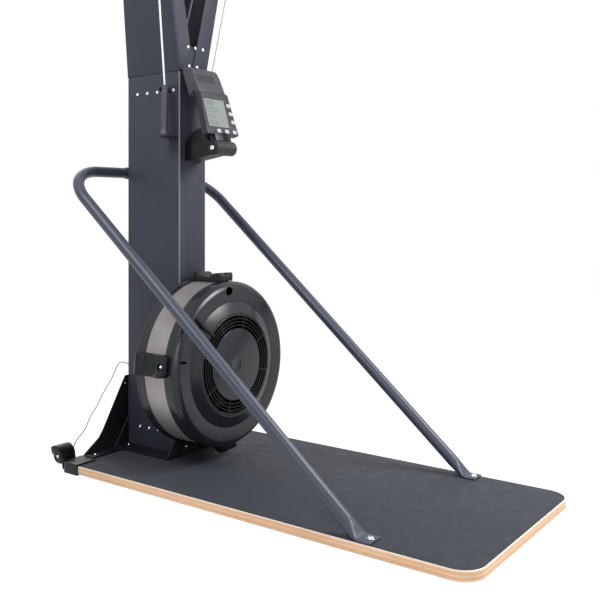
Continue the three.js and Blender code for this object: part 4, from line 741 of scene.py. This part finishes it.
# ---- mast, its foot and the arms
refined("mast_column", "powder", "powder_coat", 0.35, 2, 35, 50)
refined("rear_base_plate", "black_steel", "black_steel", 0.7)
refined("mast_foot", "black_steel", "black_steel", 0.9)
for side, _, _ in SIDES:
    refined(f"arm_{side}", "powder", "powder_coat", 0.9, 3)
# A thin strip of lighter paint round each front corner of the mast: a painted highlight
CORNER_R, STRIP_FROM, STRIP_TO = 4, radians(196), radians(254)
corner_x, corner_y = -MAST_HALF + CORNER_R, MAST_FRONT + CORNER_R
highlight_strip = (arc(corner_x, corner_y, CORNER_R + 0.15, STRIP_FROM, STRIP_TO, 8)
               + arc(corner_x, corner_y, CORNER_R - 0.8, STRIP_TO, STRIP_FROM, 8))
for side, _, mirror in SIDES:
    piece(f"mast_edge_{side}", mirror(prism(highlight_strip, "z", 62, 1183)), "powder_painted_highlight", "powder_coat")
piece("mast_seam", box((-57.8, 57.8), (415.3, 640.9), (1183.5, 1185.3)), "seam", "powder_coat",
      cuts=[box((-56, 56), (417, 639), (1170, 1200))])
# The handle holders take the mast's paint darkened as painted shade
for side, _, _ in SIDES:
    refined(f"handle_holder_{side}", "powder_painted_shade", "black_steel", 0.7)
    refined(f"pulley_block_{side}", "black_steel", "black_steel", 0.6)


# ---- handrails
RAIL_R, RAIL_Y, RAIL_Z, RAIL_BEND = 16.2, 659.5, 883.5, 132
RAIL_SIDES = 40
FOOT_X, FOOT_END, FOOT_Z = -274, -388, 30.8  # the flattened foot of the left rail
FOOT_HALF, FOOT_FLAT, FOOT_SQUARE = 24, 2.5, 0.7
RAIL_BOLT_X, RAIL_BOLT_Y = 273, -383


def handrail():
    """The left rail: from the sleeve outwards, down to the deck and into its flattened foot."""
    x_axis, outwards, ahead = Vector((1, 0, 0)), Vector((-1, 0, 0)), Vector((0, -1, 0))
    corner = Vector((-296.7, RAIL_Y, RAIL_Z))
    heel = Vector((-276, -350, FOOT_Z + 6.2))
    down = (heel - corner).normalized()
    side = down.cross(x_axis).normalized()
    rings = []

    def put(centre, tangent, flat):
        square = (side - tangent * side.dot(tangent)).normalized()
        other = tangent.cross(square).normalized()
        high = RAIL_R + (FOOT_FLAT - RAIL_R) * flat
        wide = RAIL_R + (FOOT_HALF - RAIL_R) * flat
        rings.append(ring(centre, square * high, other * wide, RAIL_SIDES, flat * FOOT_SQUARE))

    for x in (-8, -38, -68):
        put(Vector((x, RAIL_Y, RAIL_Z)), outwards, 0)
    turn = outwards.angle(down)
    inwards = (down - outwards * outwards.dot(down)).normalized()
    centre = corner - outwards * RAIL_BEND * tan(turn / 2) + inwards * RAIL_BEND
    for i in range(29):
        angle = turn * i / 28
        put(centre - inwards * RAIL_BEND * cos(angle) + outwards * RAIL_BEND * sin(angle),
            outwards * cos(angle) + inwards * sin(angle), 0)
    squash = RAIL_R * 2.2
    keys = []
    for share, flat, level in ((1, 0.0, 0.0), (0.5, 0.35, 0.12), (0.1, 0.75, 0.45)):
        spot = heel - down * squash * share
        keys.append((Vector((spot.x, spot.y - squash * 0.3 * level, spot.z + (FOOT_Z - heel.z) * level)),
                     flat, down.lerp(ahead, level).normalized()))
    keys += [(Vector((FOOT_X, y, FOOT_Z)), 1.0, ahead) for y in (-350 - squash * 0.4, FOOT_END)]
    ends = [keys[0]] + keys + [keys[-1]]
    for a, b, c, d in zip(ends, ends[1:], ends[2:], ends[3:]):
        for k in range(5):
            t = k / 5
            put(catmull(a[0], b[0], c[0], d[0], t), b[2].lerp(c[2], t).normalized(), b[1] + (c[1] - b[1]) * t)
    put(keys[-1][0], ahead, 1)
    # The foot's square end with its eased edge
    for y, wide, high in ((-392, 24, 2.5), (-395.2, 23.6, 2.4), (-396, 22.6, 1.6)):
        rings.append(ring(Vector((FOOT_X, y, FOOT_Z)), Vector((0, 0, high)), Vector((-wide, 0, 0)), RAIL_SIDES,
                          FOOT_SQUARE))
    return loft(rings)


left_rail = handrail()
for side, sign, mirror in SIDES:
    smoothed(f"handrail_{side}", mirror(left_rail), "rail", "rail_paint", smooth=40)
    washer = turned(fillet([(0, 33.2), (9, 33.2, 0.4), (9, 34.6, 0.5), (0, 34.6)]), "z", 40,
                    (sign * RAIL_BOLT_X, RAIL_BOLT_Y, 0))
    piece(f"rail_washer_{side}", washer, "bolt", "steel")
    bolt(f"rail_bolt_{side}", (sign * RAIL_BOLT_X, RAIL_BOLT_Y, 34.6), "z", 1, 7, 4, 3)
sleeve = turned(fillet([(16.4, -48), (18.4, -48, 0.8), (18.4, 48, 0.8), (16.4, 48)]), "x", 48,
                (0, RAIL_Y, RAIL_Z))
saddle = box((-43, 43), (641, 646), (RAIL_Z - 16, RAIL_Z + 16))
smoothed("rail_sleeve", merged(sleeve, saddle), "black_steel", "black_steel")


# ---- fan
def fan_ring(points, steps=4, segments=FINE):
    """A closed profile of (radius, y, corner radius) turned round the fan's axis."""
    return turned(fillet(points, steps), "y", segments, FAN)


def on_fan(shape, degrees):
    """Turned in the X-Z plane from +X towards +Z, then moved to the fan's centre."""
    return changed(shape, Matrix.Translation(FAN) @ Matrix.Rotation(-radians(degrees), 4, "Y"))


smoothed("fan_rear_housing", fan_ring([
    (31.5, 408), (222, 408, 9), (245, 399.5, 1.6), (245, 396, 1.2), (241.6, 393, 1), (241.6, 374, 0.6),
    (238.6, 374), (238.6, 393), (219, 405), (31.5, 405)], 5), "fan_side", "fan_shell")
smoothed("fan_mesh_band", fan_ring([(237.8, 296.3), (239.8, 296.3), (239.8, 373.7), (237.8, 373.7)]), "mesh",
         "mesh")
POCKETS = ((95.4, 216, 12.5, 15), (171, 214, 15.5, 4.6))  # degrees, radius, half width and half height
smoothed("fan_front_cover", fan_ring([
    (184.1, 253), (223, 250, 5), (232.5, 254.5, 12), (241, 267, 9), (241, 296, 0.8), (238, 296), (238, 268, 8),
    (230, 257, 9), (222, 253), (187.1, 256), (187.1, 261), (140, 261), (140, 258), (184.1, 258)], 5),
    "fan", "fan_shell",
    cuts=[on_fan(prism(oval(r, wide, high, 28), "y", 240, 262), angle) for angle, r, wide, high in POCKETS])
smoothed("damper_ring", fan_ring([
    (148, 254.4), (148, 240.9, 0.4), (151, 240, 2.6), (183.2, 253, 1.2), (183.2, 256), (176, 253.2),
    (151, 243.4), (151, 254.4)], 5), "fan", "fan_shell", body="damper")
lever = fillet([
    (141, 235.5, 1), (152, 235.5, 6), (186, 244.6, 8), (220, 244.5, 1.6), (220, 249.1, 1.6), (184, 249.1),
    (177, 250.6), (155, 242), (150, 238.6), (141, 238.6, 0.8)])
piece("damper_lever", on_fan(prism(lever, "z", -4.5, 4.5), 137), "black_plastic", "fan_shell", body="damper",
      ease=(1.1, 3, 40))
GRILLE_FRONT, GRILLE_BACK = 239.5, 245.5
DISC_R, RIM_R = 105, 143.1
disc = fan_ring([
    (0, 238), (DISC_R, 238, 2.6), (DISC_R, GRILLE_BACK), (102, GRILLE_BACK), (102, 242), (0, 242)],
    segments=96)
rim = fan_ring([
    (RIM_R, GRILLE_FRONT, 1.6), (147.1, GRILLE_FRONT, 1.6), (147.1, 254.7), (160, 254.7), (160, 257.7),
    (RIM_R, 257.7)])
piece("grille_disc", merged(disc, rim), "fan", "fan_shell")
grille = []
for k in (1, 2, 3):
    r = DISC_R + (RIM_R - DISC_R) / 4 * k
    low, high = r - 1.3, r + 1.3
    grille.append(fan_ring([
        (low, GRILLE_FRONT, 0.5), (high, GRILLE_FRONT, 0.5), (high, GRILLE_BACK), (low, GRILLE_BACK)], 3, 96))
rib = box((103.5, 144), (GRILLE_FRONT + 0.3, GRILLE_BACK), (-1.5, 1.5))
grille += [on_fan(rib, 30 + 45 * k) for k in range(8)]
smoothed("centre_grille", merged(*grille), "grille", "fan_shell")
boss = fan_ring([(0, 237.7), (21, 237.7), (22.5, 237.2, 0.8), (24, 237.7), (24.2, 238.2), (0, 238.2)], 3, 72)
piece("grille_boss", boss, "fan", "fan_shell")

# The clips, drawn upright on top of the fan: the side view is y and the distance outwards
CLIP_TURNS = {"top": -1, "left": 84.5, "bottom": 185, "right": 264}
CLIP_HALF, CLIP_FRONT, CLIP_REAR, CLIP_ROUND = 31, 279, 394, 13
CLIP_BOLT = (0, 291, 0)
clip_side = fillet([
    (CLIP_FRONT, 236), (CLIP_FRONT, 252, 3), (282.5, 261, 4), (290, 266.4, 7), (306, 264.5, 9), (325, 254, 12),
    (360, 254, 12), (373, 263, 8), (383, 266.2, 7), (391, 263, 5), (CLIP_REAR, 254, 3), (CLIP_REAR, 236)], 5)
clip_body = prism(clip_side, "x", -CLIP_HALF, CLIP_HALF)
clip_head = turned(fillet([(0, 256.3), (5.2, 256.3), (5.2, 259.6, 0.6), (3.6, 261, 0.6), (0, 261)], 3),
                   "z", 24, CLIP_BOLT)
bolt_pocket = turned([(0, 256.4), (8.5, 256.4), (8.5, 300), (0, 300)], "z", 40, CLIP_BOLT)
housing = turned([(0, 260), (241.9, 260), (241.9, 392.6), (245.4, 392.6), (245.4, 410), (0, 410)], "y", FINE,
                 FAN)


def clip_corner(across, y, outwards):
    """What rounds one corner of a clip, seen from outside."""
    cx, cy = across * (CLIP_HALF - CLIP_ROUND), y - outwards * CLIP_ROUND
    far_x, far_y = across * (CLIP_HALF + 5), y + outwards * 5
    edge = [(cx + across * u, cy + outwards * v) for u, v in arc(0, 0, CLIP_ROUND, 0, TAU / 4, 8)]
    return prism([(far_x, far_y), (far_x, cy)] + edge + [(cx, far_y)], "z", 225, 275)


clip_cuts = [bolt_pocket] + [clip_corner(across, y, outwards) for across in (-1, 1)
                             for y, outwards in ((CLIP_FRONT, -1), (CLIP_REAR, 1))]
for side, angle in CLIP_TURNS.items():
    smoothed(f"fan_clip_{side}", on_fan(clip_body, angle), "black_plastic", "moulding",
             cuts=[housing] + [on_fan(c, angle) for c in clip_cuts], ease=(2.2, 3, 40))
    piece(f"fan_clip_bolt_{side}", on_fan(clip_head, angle), "bolt", "steel", smooth=50)


# ---- flywheel side of the fan
refined("fan_wheel", "iron", "cast_iron", 0.5, 2, 30, body="flywheel")
refined("fan_axle", "steel", "steel", 0.4, 2, 30, body="flywheel")
refined("front_bearing", "steel", "steel", 0.5, 2, 30)
for node, width in (("bearing_carrier", 0.8), ("rear_bearing_block", 1), ("guide_bracket", 0.5)):
    refined(node, "black_steel", "black_steel", width)


# ---- drums, pulleys and ropes
ROPE_R, ROPE_SIDES = 2.75, 16
GUIDE_R, GUIDE_Z, DRUM_R, TOP_R = 11, 1150, 24, 46
GUIDE_X = {"left": 13, "right": 35}
DRIVE_Y = {"left": 540, "right": 520}
HINGE = Vector((-258.699, 357.975, 2058.826))  # where the handle's rope leaves its pulley
TOUCH = Vector((-262.318, 356.184, 2079.434))
HUB = Vector((-235.679, 392.850, 2087.3))
TOP_TURN = radians(54)  # the top pulley's plane, from X towards Y
ACROSS = Vector((cos(TOP_TURN), sin(TOP_TURN), 0))
LEAN = radians(9.846)
ROPE_END = Vector((-97, 438, 1138.2))
ROPE_LINE = (HINGE - ROPE_END).normalized()
GROOVE_DEPTH = 3.75  # under the rope's centre


def grooved(rope_at, flange, width, bore):
    """The profile of a pulley with a round-bottomed groove for a rope."""
    half, floor = width / 2, rope_at - GROOVE_DEPTH
    lip = rope_at - 0.5
    return fillet([
        (bore, -half, 0.4), (flange, -half, 0.4), (flange, -half + 0.8, 0.4), (lip, -3, 1), (floor, -2.2, 1.6),
        (floor, 2.2, 1.6), (lip, 3, 1), (flange, half - 0.8, 0.4), (flange, half, 0.4), (bore, half, 0.4)], 3)


def circled(centre, across, radius, angle):
    """The point at an angle from across, on an upright circle."""
    return centre + across * radius * cos(angle) + Vector((0, 0, radius * sin(angle)))


def drive_points(side, sign):
    """The drive rope: over the top pulley, down to the guide pulley and three quarters round the drum."""
    hub, along, *points = (Vector((v.x * sign, v.y, v.z)) for v in (HUB, ACROSS, HINGE, TOUCH))
    guide = Vector((GUIDE_X[side], DRIVE_Y[side], GUIDE_Z))
    fall = (guide - hub - along * TOP_R).normalized()
    rise = atan(-fall.dot(along) / fall.z)
    start = circled(hub, along, TOP_R, rise)
    wrap = pi + LEAN - rise
    points += [circled(hub, along, TOP_R, pi + LEAN - wrap * i / 28) for i in range(1, 29)]
    slope = atan2(abs(start.x - guide.x), start.z - guide.z)
    points += [circled(guide, Vector((sign, 0, 0)), GUIDE_R, slope * (1 - i / 6)) for i in range(7)]
    drum = Vector((0, DRIVE_Y[side], FAN[2]))
    points += [circled(drum, Vector((1, 0, 0)), DRUM_R, -TAU * 0.75 * i / 30) for i in range(31)]
    return points


top_pulley = turned(grooved(TOP_R, 50, 14, 6.3), "y", 96)
top_hollows = [turned([(14, low), (40, low), (38, low + deep), (15, low + deep)], "y", ROUND)
               for low, deep in ((-7.4, 3.4), (7.4, -3.4))]
on_hub = Matrix.Translation(HUB) @ Matrix.Rotation(TOP_TURN, 4, "Z")
end = HINGE - ROPE_LINE * 1.6
handle_rope = tube([ROPE_END.lerp(end, i / 40) for i in range(41)], ROPE_R, ROPE_SIDES)
for side, outward, mirror in SIDES:
    sign = -outward
    for name, body, at, profile, segments in (
            ("drive_drum", "drum", (0, DRIVE_Y[side], FAN[2]), grooved(DRUM_R, 30, 15, 10.3), ROUND),
            ("guide_pulley", "guide_pulley", (GUIDE_X[side], DRIVE_Y[side], GUIDE_Z),
             grooved(GUIDE_R, 14, 10, 4.3), 48)):
        smoothed(f"{name}_{side}", turned(profile, "y", segments, at), "black_plastic", "moulding",
                 body=f"{body}_{side}_body")
    smoothed(f"top_pulley_{side}", mirror(changed(top_pulley, on_hub)), "black_plastic", "moulding",
             body=f"top_pulley_{side}_body", cuts=[mirror(changed(h, on_hub)) for h in top_hollows])
    smoothed(f"drive_rope_{side}", tube(drive_points(side, sign), ROPE_R, ROPE_SIDES), "rope", "rope")
    rope = smoothed(f"handle_rope_{side}", mirror(handle_rope), "rope", "rope", body=f"rope_{side}")
    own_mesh(rope)


# ---- handles
HANDLE_LOW, HANDLE_LENGTH, HANDLE_X, HANDLE_Y = 988.3, 148.7, 97, 438
HANDLE_TAPER = (  # radius, share of the length, corner
    (15, 0.022, 1.2), (12, 0.05, 2), (9, 0.12, 6), (9, 0.18, 0), (9.6, 0.5, 60), (9, 0.82, 0), (9, 0.875, 2),
    (8, 0.9, 1.5), (8, 0.955, 1.5), (4, 0.99, 0.8))
profile = [(0, HANDLE_LOW), (13.5, HANDLE_LOW, 1), (15, HANDLE_LOW + 1.2, 1)]
profile += [(r, HANDLE_LOW + HANDLE_LENGTH * share, corner) for r, share, corner in HANDLE_TAPER]
grip = turned(fillet(profile + [(0, 1137)]), "z", 48, (-HANDLE_X, HANDLE_Y, 0))
for side, _, mirror in SIDES:
    smoothed(f"handle_{side}", mirror(grip), "grip_rubber", "rubber", body=f"handle_{side}_body")


# ---- monitor
TILT_AXIS = (0, 288, 948)
MONITOR = Matrix.Translation(TILT_AXIS) @ Matrix.Rotation(-radians(16.7), 4, "X")
BACK_STEP_Y, BACK_Y, FACE_Y = 10, 18, -10
KEYS = [(51 + 2.6 * i, 136 - 26.5 * i) for i in range(3)] + [(53 - 35 * i, 51) for i in range(3)]
KEY_HALF_X, KEY_HALF_Z, KEY_GAP = 8, 6, 0.3


def on_monitor(name, shape, material, slot="moulding", *replaced, body="monitor", cuts=(), ease=None):
    """A piece drawn in the monitor's own upright frame, whose origin is on the tilt's axis."""
    piece(name, changed(shape, MONITOR), material, slot, *replaced, body=body,
          cuts=[changed(c, MONITOR) for c in cuts], ease=ease)


def panel_outline(half_low, half_high, low, high, r):
    return fillet([(-half_low, low, r), (half_low, low, r), (half_high, high, r), (-half_high, high, r)], 6)


def key_outline(x, z, gap, r):
    wide, high = KEY_HALF_X + gap, KEY_HALF_Z + gap
    return rounded(x - wide, z - high, x + wide, z + high, r)


window = prism(rounded(-54.3, 63.7, 35.3, 152.3, 2.5), "y", FACE_Y - 3, FACE_Y + 3.1)
holes = [prism(key_outline(x, z, KEY_GAP, 2.6), "y", FACE_Y - 3, FACE_Y + 4.2) for x, z in KEYS]
on_monitor("monitor_panel", prism(panel_outline(70, 60, 40, 173.5, 5), "y", FACE_Y, BACK_STEP_Y), "monitor",
           "moulding", "monitor_housing", cuts=[window] + holes, ease=(1.4, 3, 50))
on_monitor("monitor_back", prism(panel_outline(64, 54, 46, 167.5, 5), "y", BACK_STEP_Y - 1, BACK_Y), "monitor",
           ease=(2.2, 3, 50))
knuckle = turned(fillet([(7.3, -14), (21.5, -14, 1), (21.5, 14, 1), (7.3, 14)]), "x", 64)
on_monitor("monitor_knuckle", knuckle, "monitor")
on_monitor("monitor_neck", box((-14, 14), (-11, 11), (18, 46)), "grille", ease=(1.5, 3, 50))
saddle_arc = [(22 * sin(a), 22 * cos(a)) for a in [radians(-30 + 4.5 * k) for k in range(9)]]
wide_neck = prism(saddle_arc + [(11, 24.5), (11, 46), (-11, 46)], "x", -40, 28)
on_monitor("monitor_wide_neck", wide_neck, "grille", ease=(1.5, 3, 50))
glass = prism(rounded(-54, 64, 35, 152, 2.2), "y", FACE_Y + 0.8, FACE_Y + 2.8)
on_monitor("display_window_smooth", glass, "lcd", "display", "display_window")
for i, (x, z) in enumerate(KEYS, 1):
    on_monitor(f"key_{i}_smooth", prism(key_outline(x, z, 0, 2.4), "y", FACE_Y - 1.5, FACE_Y + 2.5), "key",
               "keycap", f"key_{i}", body=f"key_{i}_body", ease=(0.7, 3, 50))
refined("device_holder", "holder", "moulding", 1.3, 3, 22, 50, body="monitor")
refined("monitor_bracket", "monitor", "moulding", 0.8, 3, 35, 40)
# The darker pad lies in the holder's back, which leans 8 mm over its 57 mm; it is partly painted shade of the
# recess
shade_pad = prism(rounded(-52, 34.5, 26, 60.5, 8, 6), "y", 0.9, 1.9)
in_holder = Matrix.Translation((0, -4, 173.8)) @ Matrix.Rotation(-atan2(8, 57), 4, "X")
on_monitor("holder_shade_pad", changed(shade_pad, in_holder), "monitor")
barrel_cap = fillet([
    (0, -52.6), (11, -52.6), (12, -53.6, 0.5), (14.6, -53.6, 0.8), (15.4, -52.4), (18.4, -52.4, 0.4),
    (18.4, -51.5), (0, -51.5)])
piece("barrel_cap", turned(barrel_cap, "x", 64, TILT_AXIS), "seam_gloss", "moulding")

# The display's plain numbers: the ends of the seven strokes in a cell of 1 x 1, and each number's strokes
SEGMENTS = ((0, 1, 1, 1), (0, 0.5, 1, 0.5), (0, 0, 1, 0), (0, 0.5, 0, 1), (1, 0.5, 1, 1), (0, 0, 0, 0.5),
            (1, 0, 1, 0.5))
DIGITS = {"0": (0, 2, 3, 4, 5, 6), "2": (0, 1, 2, 4, 5), "5": (0, 1, 2, 3, 6)}
ROWS = (("000", 132, 7, 13, 12), ("0500", 110, 8, 15, 13), ("002", 90, 6, 11, 10.5),
        ("0000", 71, 6, 11, 10.5))  # text, height up the face, digit's width and height, step
ROW_X, INK_FRONT, INK_BACK = -46, FACE_Y + 0.65, FACE_Y + 0.85


def digit(sign, x, z, wide, high):
    """Seven-segment strokes lying on the display."""
    thin = high * 0.07
    gap = thin * 1.3
    strokes = []
    for i in DIGITS[sign]:
        x0, z0, x1, z1 = SEGMENTS[i]
        left, right = x + x0 * wide, x + x1 * wide
        low, top = z + min(z0, z1) * high, z + max(z0, z1) * high
        if x0 == x1:
            across, up = (left - thin, left + thin), (low + gap, top - gap)
        else:
            across, up = (left + gap, right - gap), (low - thin, low + thin)
        strokes.append(box(across, (INK_FRONT, INK_BACK), up))
    return merged(*strokes)


on_monitor("display_digits", merged(*[
    digit(sign, ROW_X + step * i, z, wide, high) for text, z, wide, high, step in ROWS
    for i, sign in enumerate(text)]), "ink", "display")
ear_outline = fillet([
    (415.2, 914.5), (415.2, 974, 4), (397, 984, 8), (384, 1000, 12), (366, 1009, 14), (346, 1010, 14),
    (334, 990, 10), (326, 973, 8), (296, 968.5, 4), (290, 950), (304, 930), (309.5, 929.9)], 5)
for side, _, mirror in SIDES:
    piece(f"bracket_ear_{side}", mirror(prism(ear_outline, "x", -33.4, -29)), "grille", "moulding",
          ease=(1.2, 3, 40))
bolt("barrel_bolt", (-52.5, *TILT_AXIS[1:]), "x", -1, 7.5, 4, 3)
bolt("bracket_bolt", (-6.6, 412.3, 921.6), "y", -1, 4.5, 2.4, 2)


# ---- floor, background and light
class Backdrop(Tree):
    """The nodes of the floor or the world, which look brighter than the light they give."""

    def __init__(self, owner):
        super().__init__(owner)
        self.nodes.clear()

    def blend(self, factor, one, two):
        node = self.add("MixShader")
        for socket, value in zip(node.inputs, (factor, one.outputs[0], two.outputs[0])):
            self.fill(socket, value)
        return node

    def show(self, output, unseen, seen):
        """One shader for the light on the object, one for camera, glossy and transmission rays."""
        rays = self.add("LightPath").outputs
        directly = rays["Is Camera Ray"]
        for name in ("Is Glossy Ray", "Is Transmission Ray"):
            directly = self.math("MAXIMUM", directly, rays[name])
        self.add(output, Surface=self.blend(directly, unseen, seen).outputs[0])


FLOOR_HALF, FLOOR_TOP = 9000, -0.05  # just under the pads, millimetres
FLOOR_GLOW, GLOW_STRENGTH = 0.75, 1.26
floor = mesh_object("floor", box((-FLOOR_HALF, FLOOR_HALF), (-FLOOR_HALF, FLOOR_HALF), (-2, FLOOR_TOP)))
floor.data.materials.append(bpy.data.materials.new("floor_white"))
n = Backdrop(floor.data.materials[0])
paper = n.blend(FLOOR_GLOW, n.add("BsdfDiffuse", Color=grey(0.9)),
                n.add("Emission", Color=grey(1), Strength=GLOW_STRENGTH))
n.show("OutputMaterial", n.add("BsdfDiffuse", Color=grey(0.8)), paper)

SKY_STRENGTH = 0.26
world = bpy.context.scene.world = bpy.data.worlds.new("studio")
n = Backdrop(world)
n.show("OutputWorld", n.add("Background", Color=(0.94, 0.97, 1.0, 1), Strength=SKY_STRENGTH),
       n.add("Background", Color=grey(1), Strength=1.0))

LAMPS = (  # name, place, what it looks at, width and height in metres, watts
    ("key_light", (1.2, -2.0, 2.35), (0, -0.3, 0.5), (1.2, 1.2), 88),
    ("left_light", (-2.0, 0.4, 2.9), (0, 0.4, 1.5), (1.0, 1.2), 52),
    ("back_light", (1.4, 3.1, 2.4), (0, 0.3, 0.9), (1.5, 1.5), 16),
    ("strip_light", (-3.3, -1.5, 1.3), (0, 0.2, 0.8), (0.16, 1.7), 15),
    ("front_strip", (-1.7, -3.1, 1.9), (0, 0.2, 0.7), (0.25, 2.2), 13),
)
for name, at, target, size, power in LAMPS:
    data = bpy.data.lights.new(name, "AREA")
    data.shape = "RECTANGLE"
    data.size, data.size_y = size
    data.energy = power
    lamp = linked(name, data)
    lamp.location = at
    lamp.rotation_euler = (Vector(target) - Vector(at)).to_track_quat("-Z", "Y").to_euler()
bpy.context.scene.view_settings.view_transform = "Standard"
